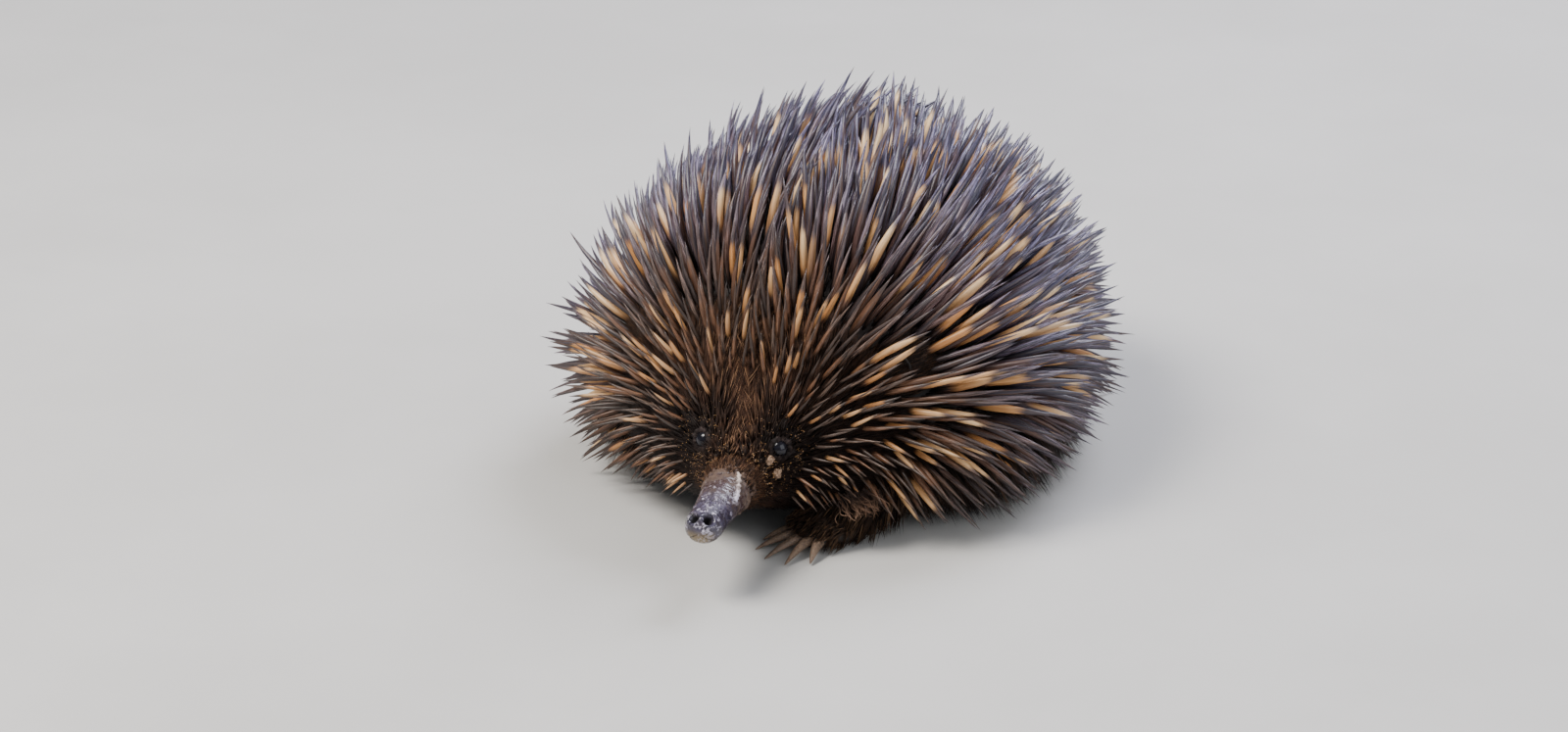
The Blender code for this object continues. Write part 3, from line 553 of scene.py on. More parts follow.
def bent_lines(root, bend, tip, steps):
    """Points on the curve from each root to each tip that passes through its bend halfway."""
    s = np.asarray(steps)[None, :, None]
    pull = 2 * bend - (root + tip) / 2
    return (1 - s) ** 2 * root[:, None] + 2 * s * (1 - s) * pull[:, None] + s**2 * tip[:, None]


def store_map(mesh, place):
    """Keeps each point's place on the map called OFBake."""
    layer = mesh.uv_layers.new(name="OFBake")
    corners = np.empty(len(mesh.loops), np.int32)
    mesh.loops.foreach_get("vertex_index", corners)
    layer.data.foreach_set("uv", place[corners].astype(np.float32).ravel())


def strands(name, lines, radii, steps, sides, chance, patch):
    """Closed tapered rods. lines is (strands, rings and tip, 3) and radii (strands, rings)."""
    count, rings = radii.shape
    axis = unit(lines[:, -1] - lines[:, 0])
    helper = np.where(np.abs(axis[:, 2:]) > NEARLY_UPRIGHT, np.array((1.0, 0, 0)), UP)
    side = unit(np.cross(axis, helper))
    up = np.cross(axis, side)
    turn = np.linspace(0, FULL_TURN, sides, endpoint=False)
    round_way = side[:, None] * np.cos(turn)[None, :, None] + up[:, None] * np.sin(turn)[None, :, None]
    shell = lines[:, :-1, None] + radii[:, :, None, None] * round_way[:, None]
    each = rings * sides + 2
    points = np.empty((count, each, 3))
    points[:, :-2] = shell.reshape(count, -1, 3)
    points[:, -2], points[:, -1] = lines[:, 0], lines[:, -1]
    quads, k, beside = rings_of_faces(rings, sides)
    top = (rings - 1) * sides
    tips = np.stack([top + k, top + beside, np.full(sides, each - 1)], axis=1)
    roots = np.stack([beside, k, np.full(sides, each - 2)], axis=1)
    start = np.arange(count)[:, None, None] * each
    made = mesh_object(name, points.reshape(-1, 3), start + quads, start + np.concatenate([tips, roots]))
    way_along = np.concatenate([np.repeat(steps[:-1], sides), [0.0, 1.0]])
    strand = np.empty((count, each, 3))
    strand[:, :, 0] = way_along
    strand[:, :, 1:] = chance[:, None, :2]
    store(made.data, "strand", strand)
    grain = np.zeros((count, each, 3))
    grain[:, :-2, 0] = np.tile(np.cos(turn), rings)
    grain[:, :-2, 1] = np.tile(np.sin(turn), rings)
    grain[:, :, 2] = chance[:, None, 2]
    store(made.data, "grain", grain)
    place = np.empty((count, each, 2))
    place[:, :, 0] = patch[:, None, 0] + PATCH * (grain[:, :, 0] / 2)
    place[:, :, 1] = patch[:, None, 1] + PATCH * (way_along - 0.5)
    store_map(made.data, place.reshape(-1, 2))
    return made


print(f"one strand's patch is {PATCH * 100:.1f} percent of the map wide")

# %% [markdown]
# ## The spines
# Each spine is a modified hair, three to four millimetres thick and up to five centimetres long.
# They stand a few millimetres apart, are short and thin round the face, and lean backwards. On the
# flanks they turn outwards and down like a skirt, and over the ears they leave a gap. Throwing
# darts, and keeping only those that land clear of the others, gives the even yet irregular rows of
# the real animal. A grid would look combed.

# %% Size of the spines
SPINE_LENGTH, FACE_SPINE_LENGTH = 0.0460, 0.0165
SPINE_RADIUS, FACE_SPINE_RADIUS = 0.00152, 0.00072
SPINE_SPACING, FACE_SPINE_SPACING = 0.0044, 0.0035
# Length and thickness grow sooner behind the face than the coat's depth does.
SPINE_GROWTH_POWER = 0.50
SKIRT_FROM, SKIRT_TO = radians(66), radians(104)
SKIRT_SLIMMER = 0.20
TOP_LIFT, SHOULDER_LIFT, RUMP_LIFT = radians(33), radians(37), radians(58)
# Where the spines begin to stand up more towards shoulder and rump, and over what length.
SHOULDER_FROM, SHOULDER_REACH, RUMP_FROM, RUMP_REACH = -0.01, 0.06, 0.055, 0.05


def skirt_share(angle):
    return smooth((np.abs(angle) - SKIRT_FROM) / (SKIRT_TO - SKIRT_FROM))


def spine_sizes(y, angle):
    """(length, radius, lift) of the spines at these stations and angles."""
    slimmer = 1 - SKIRT_SLIMMER * skirt_share(angle)
    grown = growth(y) ** SPINE_GROWTH_POWER
    length = mix(FACE_SPINE_LENGTH, SPINE_LENGTH, grown) * slimmer
    radius = mix(FACE_SPINE_RADIUS, SPINE_RADIUS, grown) * slimmer
    lift = TOP_LIFT + (SHOULDER_LIFT - TOP_LIFT) * smooth((SHOULDER_FROM - y) / SHOULDER_REACH)
    lift = lift + (RUMP_LIFT - TOP_LIFT) * fade_in(y, RUMP_FROM, RUMP_REACH)
    return length, radius, lift


print(f"spines {FACE_SPINE_LENGTH * 1000:.0f} mm long at the face, {SPINE_LENGTH * 1000:.0f} mm on the back")

# %% Lie of the spines
MIDLINE_LEAN, MIDLINE_LEAN_REACH = radians(20), radians(55)
FLANK_DROOP, FLANK_FROM, FLANK_TO = radians(24), radians(58), radians(110)
PARTING_HALF_ANGLE = radians(5)
SKIRT_OUT, SKIRT_BACK, SKIRT_DROOP = 0.82, 0.36, (0.26, 0.66)
SKIRT_DROOP_FROM, SKIRT_END = radians(85), radians(124)
SPINE_BEND, SPINE_WIDEST = 0.11, 0.42
ROOT_DEPTH = 0.0015


def spine_bends(t, angle, length, lift, swing):
    """The root, the bend and the tip of each spine."""
    here, normal, back, down = trunk_frames(t, angle)
    towards_midline = MIDLINE_LEAN * (1 - smooth(np.abs(angle) / MIDLINE_LEAN_REACH))
    lean = FLANK_DROOP * smooth((np.abs(angle) - FLANK_FROM) / (FLANK_TO - FLANK_FROM)) - towards_midline
    lean = (lean + swing) * np.minimum(np.abs(angle) / PARTING_HALF_ANGLE, 1.0)
    flat = back * np.cos(lean)[:, None] + down * np.sin(lean)[:, None]
    lowest = smooth((np.abs(angle) - SKIRT_DROOP_FROM) / (SKIRT_END - SKIRT_DROOP_FROM))
    droop = mix(*SKIRT_DROOP, lowest)[:, None]
    out = unit(normal * LEVEL)
    skirt = unit(out * SKIRT_OUT + back * SKIRT_BACK + down * swing[:, None] - UP * droop)
    share = skirt_share(angle)[:, None]
    steep, low = (lift + SPINE_BEND)[:, None], (lift - SPINE_BEND)[:, None]
    rising = unit(mix(flat * np.cos(steep) + normal * np.sin(steep), skirt + UP * SPINE_BEND, share))
    lying = unit(mix(flat * np.cos(low) + normal * np.sin(low), skirt - UP * SPINE_BEND / 2, share))
    depth = (skin_inset(along(TRUNK, t)[:, 0]) + ROOT_DEPTH)[:, None]
    widest = here + rising * (length * SPINE_WIDEST)[:, None]
    tip = widest + lying * (length * (1 - SPINE_WIDEST))[:, None]
    return here - normal * depth, widest, tip


print(f"they rise {math.degrees(TOP_LIFT):.0f} degrees on top and {math.degrees(RUMP_LIFT):.0f} on the rump")

# %% Throw the darts
DARTS = 120000
SPINE_SEED = 5
LOWEST_SPINE_ANGLE = radians(128)
# On the cheeks the spines begin further forward than on the brow, by up to this, over this angle.
CHEEK_SPINE_ADVANCE, CHEEK_ADVANCE_ANGLE = 0.0105, radians(60)
EYE_CLEARANCE = 0.0108
EAR_CLEARANCE, EAR_GAP_RADIUS, EAR_GAP_HEIGHT = 0.0095, 0.0072, 0.0040
LEG_STATIONS, LEG_MARGIN = 14, 0.001


def spread(here, wanted, gaps):
    """The indexes of points that keep their gap to all that were kept before them."""
    cell = gaps.max()
    cells = np.floor(here / cell).astype(int)
    held, kept = {}, []
    around = [(i, j, k) for i in (-1, 0, 1) for j in (-1, 0, 1) for k in (-1, 0, 1)]
    for i in np.flatnonzero(wanted):
        x, y, z = cells[i]
        close = [n for a, b, c in around for n in held.get((x + a, y + b, z + c), ())]
        if close and (((here[close] - here[i]) ** 2).sum(axis=1) < gaps[i] ** 2).any():
            continue
        held.setdefault((x, y, z), []).append(i)
        kept.append(i)
    return np.array(kept)


def leg_clear(points):
    """Which points lie outside the legs by a margin."""
    clear = np.ones(len(points), bool)
    for path, radii, *_ in LEGS.values():
        centres, radius, *_ = limb_frames(path, radii, np.linspace(0, 1, LEG_STATIONS))
        away = np.linalg.norm(points[:, None] - centres[None], axis=2) - radius[None]
        clear &= away.min(axis=1) > LEG_MARGIN
    return clear


def ear_clear(widest, tip):
    """Which spines don't lie over an ear, so that its gap stays open."""
    clear = np.ones(len(tip), bool)
    for side in (1, -1):
        here, normal, *_ = ear_place(side)
        for share in (0.0, 0.5):
            away = np.linalg.norm(mix(widest, tip, share) - (here + normal * EAR_GAP_HEIGHT), axis=1)
            clear &= away > EAR_GAP_RADIUS
    return clear


def landed_darts(rng):
    """Where the darts that are kept have landed: places along the trunk, angles and stations."""
    t = rng.uniform(float(t_at(SPINE_FRONT_Y - CHEEK_SPINE_ADVANCE)), 1, DARTS)
    angle = rng.uniform(-LOWEST_SPINE_ANGLE, LOWEST_SPINE_ANGLE, DARTS)
    y = along(TRUNK, t)[:, 0]
    here = trunk_points(t, angle)
    front = SPINE_FRONT_Y - CHEEK_SPINE_ADVANCE * smooth(np.abs(angle) / CHEEK_ADVANCE_ANGLE)
    wanted = y > front
    for side in (1, -1):
        wanted &= distances(here, ear_place(side)[0]) > EAR_CLEARANCE
        wanted &= distances(here, eye_frame(side)[0]) > EYE_CLEARANCE
    kept = spread(here, wanted, mix(FACE_SPINE_SPACING, SPINE_SPACING, growth(y) ** SPINE_GROWTH_POWER))
    return t[kept], angle[kept], y[kept]


SPINE_CHANCE = np.random.default_rng(SPINE_SEED)
DART_T, DART_ANGLE, DART_Y = landed_darts(SPINE_CHANCE)
print(len(DART_T), "of", DARTS, "darts kept")

# %% Grow the spines
LENGTH_SPREAD, RADIUS_SPREAD = (0.74, 1.07), (0.70, 1.14)
SWING_SPREAD, TILT_SPREAD = 0.11, 0.085
SPINE_FLOOR, FLOOR_SPREAD = 0.0030, 0.002
# Ring places along a spine, and its thickness at each as a share of the widest.
SPINE_STEPS = np.array((0.0, 0.14, 0.36, 0.58, 0.76, 0.90, 1.0))
SPINE_PROFILE = np.array((0.55, 0.86, 1.0, 0.90, 0.62, 0.30))
SPINE_SIDES = 7
# Spines whose first draw of chance is over this are stouter. All the banded ones are among them.
STOUT_FROM, STOUTER = 0.70, 1.28
# The solids part head and torso about here.
HEAD_ENDS_Y = -0.030


def grow_spines(rng, t, angle, y):
    """Radius, root, bend and tip of each spine, its draws of chance and which ones stand clear."""
    length, radius, lift = spine_sizes(y, angle)
    length = length * rng.uniform(*LENGTH_SPREAD, len(t))
    radius = radius * rng.uniform(*RADIUS_SPREAD, len(t))
    swing = rng.normal(0, SWING_SPREAD, len(t))
    tilt = rng.normal(0, TILT_SPREAD, len(t))
    root, widest, tip = spine_bends(t, angle, length, lift + tilt, swing)
    low = tip[:, 2] < SPINE_FLOOR
    tip[low, 2] = SPINE_FLOOR + rng.uniform(0, FLOOR_SPREAD, low.sum())
    widest[:, 2] = np.maximum(widest[:, 2], SPINE_FLOOR)
    clear = leg_clear(widest) & leg_clear(tip) & ear_clear(widest, tip)
    chance = rng.uniform(0, 1, (len(t), 3))
    radius = radius * np.where(chance[:, 0] > STOUT_FROM, STOUTER, 1)
    return [item[clear] for item in (t, angle, y, radius, root, widest, tip, chance)]


def spine_pieces():
    t, angle, y, radius, root, widest, tip, chance = grow_spines(SPINE_CHANCE, DART_T, DART_ANGLE, DART_Y)
    lines = bent_lines(root, widest, tip, SPINE_STEPS)
    radii = radius[:, None] * SPINE_PROFILE[None]
    head = y < HEAD_ENDS_Y
    groups = {"spines_head": head, "spines_left": ~head & (angle >= 0), "spines_right": ~head & (angle < 0)}
    made = []
    for name, which in groups.items():
        made.append(strands(name, lines[which], radii[which], SPINE_STEPS, SPINE_SIDES, chance[which],
                            body_patch(t, angle)[which]))
        print(name, int(which.sum()), "spines,", triangle_count(made[-1]), "triangles")
    return made


spines = spine_pieces()

# %% Spines of the tail
TAIL_SEED, TAIL_DARTS, TAIL_SPINE_SPACING = 44, 1200, 0.0032
# Where on the tail they grow: along it, and round it, which leaves its underside bare.
TAIL_SPINE_REACH, TAIL_SPINE_TURNS = (0.22, 0.99), (radians(-35), radians(215))
TAIL_SPINE_LENGTHS, TAIL_SPINE_RADII = (0.0100, 0.0160), (0.0008, 0.0012)
# From here on the spines turn backwards, round the tail's end.
TAIL_END_FROM, TAIL_END_REACH, TAIL_BACKWARDS = 0.8, 0.2, (0.2, 0.8)
TAIL_SPINE_OUT, TAIL_SPINE_WAY, TAIL_SPINE_STRAY = 0.55, np.array((0, 1.0, -0.10)), 0.08
TAIL_ROOT_DEPTH, TAIL_SPINE_BULGE = 0.002, 0.0006


def tail_spines():
    """Short slim spines over the tail and round its end."""
    rng = np.random.default_rng(TAIL_SEED)
    t, turn = rng.uniform(*TAIL_SPINE_REACH, TAIL_DARTS), rng.uniform(*TAIL_SPINE_TURNS, TAIL_DARTS)
    y, level, half_width, half_height = along(TAIL, t).T
    level_way, end_way = TAIL_BACKWARDS
    backwards = level_way + end_way * fade_in(t, TAIL_END_FROM, TAIL_END_REACH)
    out = unit(np.stack([np.cos(turn), backwards, np.sin(turn)], axis=1))
    root = np.stack([half_width * np.cos(turn), y, level + half_height * np.sin(turn)], axis=1)
    root = root + ORIGIN_SHIFT
    kept = spread(root, np.ones(len(t), bool), np.full(len(t), TAIL_SPINE_SPACING))
    root, out, t, turn = (item[kept] for item in (root, out, t, turn))
    way = unit(out * TAIL_SPINE_OUT + TAIL_SPINE_WAY + rng.normal(0, TAIL_SPINE_STRAY, root.shape))
    length = rng.uniform(*TAIL_SPINE_LENGTHS, (len(root), 1))
    bend = root + way * length * 0.5 + out * TAIL_SPINE_BULGE
    lines = bent_lines(root - out * TAIL_ROOT_DEPTH, bend, root + way * length, SPINE_STEPS)
    radii = rng.uniform(*TAIL_SPINE_RADII, (len(root), 1)) * SPINE_PROFILE[None]
    chance = rng.uniform(0, 1, (len(root), 3))
    return strands("spines_tail", lines, radii, SPINE_STEPS, SPINE_SIDES, chance, tail_patch(t, turn))


tail_coat = tail_spines()
print("spines_tail", triangle_count(tail_coat), "triangles")

# %% [markdown]
# ## The fur
# Fine brown hair covers the face, throat, legs and belly, and stands between the spines. Along the
# lower flanks it hangs in a long dark fringe. Each tuft is a thin closed blade with three sides,
# which holds its shape in any light and in the exported model, where particle hair would be lost.
# Regions are described on the same two numbers as the spines.

# %% Make tufts
HAIR_STEPS, HAIR_PROFILE = np.array((0.0, 0.5, 1.0)), np.array((1.0, 0.72))
LONG_HAIR_STEPS, LONG_HAIR_PROFILE = np.array((0.0, 0.34, 0.68, 1.0)), np.array((1.0, 0.85, 0.5))
HAIR_SIDES, HAIR_WIDTH_SPREAD = 3, (0.7, 1.2)
HAIR_FLOOR = 0.0008
# How far from their lie tufts stray, and how much of its droop a tuft has halfway along.
STRAY, HALFWAY_DROOP = 0.10, 0.12
# One tuft in so many leads. Those within its reach lean towards its tip and share most of its tone.
CLUMP_EVERY, CLUMP_REACH, CLUMP_TONE = 7, 0.0045, 0.70
NO_DROOP = np.zeros(3)


def gathered(root, tip, rng, share):
    """The tips once each tuft has leaned towards the nearest leading tuft's tip, and that tuft's index."""
    leaders = rng.choice(len(root), max(1, len(root) // CLUMP_EVERY), replace=False)
    tree = kdtree.KDTree(len(leaders))
    for place, leader in enumerate(leaders):
        tree.insert(root[leader], place)
    tree.balance()
    nearest = np.array([leaders[tree.find(point)[1]] for point in root])
    close = distances(root, root[nearest]) < CLUMP_REACH
    return np.where(close[:, None], mix(tip, tip[nearest], share), tip), nearest


def hairs(name, root, normal, lie, length, lift, width, droop, rng, patch,
          long=False, gather=0.45, tone=1.0, stray=STRAY):
    """Tufts that start at a lift from the skin along their lie and bend on towards their droop."""
    lift = np.broadcast_to(lift, length.shape)[:, None]
    way = unit(lie * np.cos(lift) + normal * np.sin(lift))
    way = unit(way + rng.normal(0, 1, way.shape) * stray)
    reach = length[:, None]
    tip, leader = gathered(root, root + way * reach + droop * reach, rng, gather)
    bend = root + way * reach * 0.5 + droop * reach * HALFWAY_DROOP
    tip[:, 2] = np.maximum(tip[:, 2], HAIR_FLOOR)
    bend[:, 2] = np.maximum(bend[:, 2], HAIR_FLOOR * 2)
    steps, profile = (LONG_HAIR_STEPS, LONG_HAIR_PROFILE) if long else (HAIR_STEPS, HAIR_PROFILE)
    lines = bent_lines(root, bend, tip, steps)
    radii = (width * rng.uniform(*HAIR_WIDTH_SPREAD, len(root)))[:, None] * profile[None]
    chance = rng.uniform(0, 1, (len(root), 3))
    chance[:, 0] = mix(chance[:, 0], chance[leader, 0], CLUMP_TONE)
    chance[:, :2] *= np.broadcast_to(tone, len(root))[:, None]
    made = strands(name, lines, radii, steps, HAIR_SIDES, chance, patch)
    print(name, len(root), "tufts,", triangle_count(made), "triangles")
    return made


print(f"one tuft in {CLUMP_EVERY} leads its neighbours")

# %% Find places for the roots
# How many places are drawn for each one wanted, and how deep under the skin a root sits.
OVERDRAW, ROOT_SUNK = 4, 0.0006


def near_eyes(points, reach):
    """How close points are to an eye, from 0 at this reach to 1 at the eye."""
    away = np.stack([distances(points, eye_frame(side)[0]) for side in (1, -1)])
    return 1 - smooth((away.min(axis=0) - EYE_RADIUS) / reach)


def under_skin(here, normal, y):
    """Roots a little under the skin, below points of the body's form."""
    return here - normal * (skin_inset(y) + ROOT_SUNK)[:, None]


def trunk_roots(rng, count, y_range, angle_range):
    """Roots on both sides of the body, evenly spread over its surface, a little under the skin."""
    t_low, t_high = (float(t_at(y)) for y in y_range)
    t = rng.uniform(t_low, t_high, count * OVERDRAW)
    angle = rng.uniform(*angle_range, count * OVERDRAW) * rng.choice((-1.0, 1.0), count * OVERDRAW)
    _, _, half_width, rise, _ = along(TRUNK, t).T
    speed = np.gradient(STATION_Y, STATIONS)
    area = (half_width + rise) * np.interp(t, STATIONS, speed)
    kept = rng.uniform(0, area.max(), len(t)) < area
    t, angle = t[kept][:count], angle[kept][:count]
    here, normal, back, down = trunk_frames(t, angle)
    y = along(TRUNK, t)[:, 0]
    return t, angle, y, under_skin(here, normal, y), normal, back, down


print(f"roots sit {ROOT_SUNK * 1000:.1f} mm under the skin")

# %% Fur of the face
FACE_SEED, FACE_TUFTS, FACE_STRAY, FACE_GATHER = 21, 21000, 0.055, 0.40
FACE_FROM, FACE_TO, FACE_RAISED = -0.1200, -0.080, 0.0008
# The brow's hair is combed up to the midline, less and less over this angle from its flat middle.
BROW_FLAT, BROW_FADE, BROW_COMBED = radians(16), radians(62), 0.62
# Hair at the beak's root, and hair this much further back.
FACE_GROWN, FACE_LENGTHS, FACE_WIDTHS = 0.020, (0.0045, 0.0150), (0.00023, 0.00030)
FACE_LIFT, CHEEK_LIFT, BROW_LIFT = 0.64, 0.40, 0.20
FACE_LENGTH_SPREAD = (0.75, 1.2)
# Round the eyes the hair is shorter and steeper, and painted darker as shade round the sunken eyes.
EYE_HAIR_REACH, EYE_SHORTER, EYE_STEEPER, EYE_SHADE = 0.0085, 0.45, 0.25, 0.9
# The muzzle's tone, and the cheeks' darker tone off the brow, partly their own and partly painted shade round
# the eyes.
MUZZLE_END, MUZZLE_FADE, MUZZLE_TONE, CHEEK_SHADE_TONE = -0.1175, 0.0070, 0.85, 0.20


def face_fur():
    """Short hair from the beak's root backwards; on the forehead it converges upwards to a peak."""
    rng = np.random.default_rng(FACE_SEED)
    t, angle, y, root, normal, back, down = trunk_roots(rng, FACE_TUFTS, (FACE_FROM, FACE_TO), (0, math.pi))
    root = root + normal * FACE_RAISED
    brow = 1 - fade_in(np.abs(angle), BROW_FLAT, BROW_FADE)
    lie = unit(back - down * (BROW_COMBED * brow)[:, None])
    far = fade_in(y, FACE_FROM, FACE_GROWN)
    eye = near_eyes(root, EYE_HAIR_REACH)
    length = mix(*FACE_LENGTHS, far) * rng.uniform(*FACE_LENGTH_SPREAD, len(t)) * (1 - EYE_SHORTER * eye)
    lift = mix(FACE_LIFT, mix(CHEEK_LIFT, BROW_LIFT, brow), far) + EYE_STEEPER * eye
    width = mix(*FACE_WIDTHS, far)
    muzzle = 1 - fade_in(y, MUZZLE_END, MUZZLE_FADE)
    # Tone of each tuft, with painted shade round the eyes and on the cheeks.
    tone = np.maximum(CHEEK_SHADE_TONE + (1 - CHEEK_SHADE_TONE) * brow, MUZZLE_TONE * muzzle) * (1 - EYE_SHADE * eye)
    made = []
    for name, half in (("fur_face_left", angle >= 0), ("fur_face_right", angle < 0)):
        parts = (item[half] for item in (root, normal, lie, length, lift, width))
        made.append(hairs(name, *parts, NO_DROOP, rng, body_patch(t, angle)[half], gather=FACE_GATHER,
                          tone=tone[half], stray=FACE_STRAY))
    return made


face_furs = face_fur()

# %% Fur between the spines and under the belly
UNDER_SEED, UNDER_TUFTS = 22, 11000
UNDER_ENDS, UNDER_ANGLES = (-0.088, 0.121), (0, radians(118))
UNDER_LENGTHS, UNDER_SPREAD, UNDER_LIFT, UNDER_WIDTH = (0.007, 0.014), (0.7, 1.2), 0.75, 0.00036
# On the flanks it hangs down by this share of its way backwards, and hair sags inwards a little.
UNDER_HANG, INWARD_SAG = 0.2, 0.05
BELLY_SEED, BELLY_TUFTS = 25, 5500
BELLY_ENDS, BELLY_ANGLES = (-0.108, 0.118), (radians(128), math.pi)
BELLY_LENGTHS, BELLY_LIFT, BELLY_WIDTH = (0.006, 0.011), 0.35, 0.00034


def under_fur():
    """Dark hair that fills the gaps between the spines of back and flanks, painted near-black as shade in the
    gaps.
    """
    rng = np.random.default_rng(UNDER_SEED)
    t, angle, y, root, normal, back, down = trunk_roots(rng, UNDER_TUFTS, UNDER_ENDS, UNDER_ANGLES)
    length = mix(*UNDER_LENGTHS, growth(y)) * rng.uniform(*UNDER_SPREAD, len(t))
    lie = unit(back + down * UNDER_HANG * skirt_share(angle)[:, None])
    return hairs("fur_between_spines", root, normal, lie, length, UNDER_LIFT, UNDER_WIDTH,
                 -normal * INWARD_SAG, rng, body_patch(t, angle))


def belly_fur():
    rng = np.random.default_rng(BELLY_SEED)
    t, angle, _, root, normal, back, _ = trunk_roots(rng, BELLY_TUFTS, BELLY_ENDS, BELLY_ANGLES)
    length = rng.uniform(*BELLY_LENGTHS, len(t))
    return hairs("fur_belly", root, normal, back, length, BELLY_LIFT, BELLY_WIDTH, -normal * INWARD_SAG, rng,
                 body_patch(t, angle))


fur_between, fur_belly = under_fur(), belly_fur()

# %% Fur of the ears and the tail
EAR_SEED, EAR_DRAWS, EAR_ENDS = 41, 26000, (-0.086, -0.052)
EAR_ANGLES, EAR_REACH = (radians(38), radians(78)), 0.0125
EAR_LENGTHS, EAR_LIFT, EAR_WIDTH, EAR_SAG = (0.008, 0.014), 0.6, 0.00032, 0.1
TAIL_FUR_SEED, TAIL_TUFTS, TAIL_FUR_FROM = 43, 1500, 0.3
TAIL_FUR_OUT_BACK, TAIL_FUR_SUNK = 0.15, 0.94
TAIL_FUR_WAY, TAIL_FUR_LENGTHS = np.array((0, 1.0, -0.25)), (0.006, 0.010)
TAIL_FUR_LIFT, TAIL_FUR_WIDTH, TAIL_FUR_DROOP = 0.3, 0.00036, 0.1


def ear_fur():
    """Dark hair in and round each ear, where the spines leave a gap."""
    rng = np.random.default_rng(EAR_SEED)
    t, angle, _, root, normal, back, _ = trunk_roots(rng, EAR_DRAWS, EAR_ENDS, EAR_ANGLES)
    near = np.zeros(len(t), bool)
    for side in (1, -1):
        near |= distances(root, ear_place(side)[0]) < EAR_REACH
    t, angle, root, normal, back = (item[near] for item in (t, angle, root, normal, back))
    length = rng.uniform(*EAR_LENGTHS, len(t))
    return hairs("fur_ears", root, normal, back, length, EAR_LIFT, EAR_WIDTH, -normal * EAR_SAG, rng,
                 body_patch(t, angle))


def tail_fur():
    rng = np.random.default_rng(TAIL_FUR_SEED)
    t, turn = rng.uniform(TAIL_FUR_FROM, 1.0, TAIL_TUFTS), rng.uniform(0, FULL_TURN, TAIL_TUFTS)
    y, level, half_width, half_height = along(TAIL, t).T
    normal = np.stack([np.cos(turn), np.full(len(t), TAIL_FUR_OUT_BACK), np.sin(turn)], axis=1)
    across, up = half_width * np.cos(turn) * TAIL_FUR_SUNK, half_height * np.sin(turn) * TAIL_FUR_SUNK
    root = np.stack([across, y, level + up], axis=1) + ORIGIN_SHIFT
    lie = np.broadcast_to(TAIL_FUR_WAY, root.shape)
    length = rng.uniform(*TAIL_FUR_LENGTHS, len(t))
    return hairs("fur_tail", root, unit(normal), lie, length, TAIL_FUR_LIFT, TAIL_FUR_WIDTH,
                 -UP * TAIL_FUR_DROOP, rng, tail_patch(t, turn))


fur_ears, fur_tail = ear_fur(), tail_fur()

# %% The fringe along the flanks
FRINGE_TUFTS, FRINGE_ENDS = 5200, (-0.084, 0.118)
FRINGE_ANGLES = (radians(104), radians(146))
# Its way is made up of these shares outwards, backwards and down.
FRINGE_OUT, FRINGE_BACK, FRINGE_DOWN, FRINGE_DROOP = 0.55, 0.42, 0.55, 0.38
FRINGE_LENGTHS, FRINGE_LIFT, FRINGE_WIDTH = (0.020, 0.037), 0.30, 0.00040
# Near the head it is this much shorter, and it has its full length this far behind.
FRINGE_SHORTEST, FRINGE_FULL_FROM, FRINGE_FULL_REACH = 0.42, -0.085, 0.055
LONG_GATHER = 0.6


def fringe(name, seed, side):
    """The long dark hair that hangs from the lower flank, under the last spines, to the floor."""
    rng = np.random.default_rng(seed)
    t, angle, y, *_ = trunk_roots(rng, FRINGE_TUFTS, FRINGE_ENDS, FRINGE_ANGLES)
    angle = np.abs(angle) * side
    here, normal, back, _ = trunk_frames(t, angle)
    root = under_skin(here, normal, y)
    lie = unit(unit(normal * LEVEL) * FRINGE_OUT + back * FRINGE_BACK - UP * FRINGE_DOWN)
    full = fade_in(y, FRINGE_FULL_FROM, FRINGE_FULL_REACH)
    length = rng.uniform(*FRINGE_LENGTHS, len(t)) * mix(FRINGE_SHORTEST, 1.0, full)
    return hairs(name, root, normal, lie, length, FRINGE_LIFT, FRINGE_WIDTH, -UP * FRINGE_DROOP, rng,
                 body_patch(t, angle), long=True, gather=LONG_GATHER)


fringes = [fringe("fringe_left", 23, 1), fringe("fringe_right", 24, -1)]

# %% Fur of the legs and paws
LEG_SEED, LEG_TUFTS, PAW_TUFTS, LEG_FUR_FROM = 30, 2300, 900, 0.28
LEG_LENGTHS, PAW_LENGTHS, LEG_LIFT, LEG_WIDTH = (0.0095, 0.0165), (0.0050, 0.0090), 0.40, 0.00040
PAW_FUR_INSET, PAW_FUR_LOWEST, LOWEST_ROOT = 0.0014, 0.05, 0.002
# Hair of the leg runs down it and a little to the floor, that of the paw forwards and a little down.
LEG_ALONG, LEG_DOWN, PAW_DOWN, LEG_DROOP, LEG_GATHER = 0.8, 0.3, 0.2, 0.16, 0.65


def paw_roots(rng, path, forward, across):
    """Roots on the upper half of a paw's egg shape, their outward ways and their bearing and height."""
    bearing = rng.uniform(0, FULL_TURN, PAW_TUFTS)
    height = rng.uniform(PAW_FUR_LOWEST, 1, PAW_TUFTS)
    flat = np.sqrt(1 - height**2)
    local = np.stack([np.cos(bearing) * flat, np.sin(bearing) * flat, height], axis=1)
    size = PAW_SIZE - PAW_FUR_INSET
    paw = local[:, :1] * across * size[0] - local[:, 1:2] * forward * size[1] + local[:, 2:] * UP * size[2]
    local = local / size
    outward = unit(local[:, :1] * across - local[:, 1:2] * forward + local[:, 2:] * UP)
    return paw_middle(path) + UP * PAW_HEIGHT + paw, outward, bearing, height


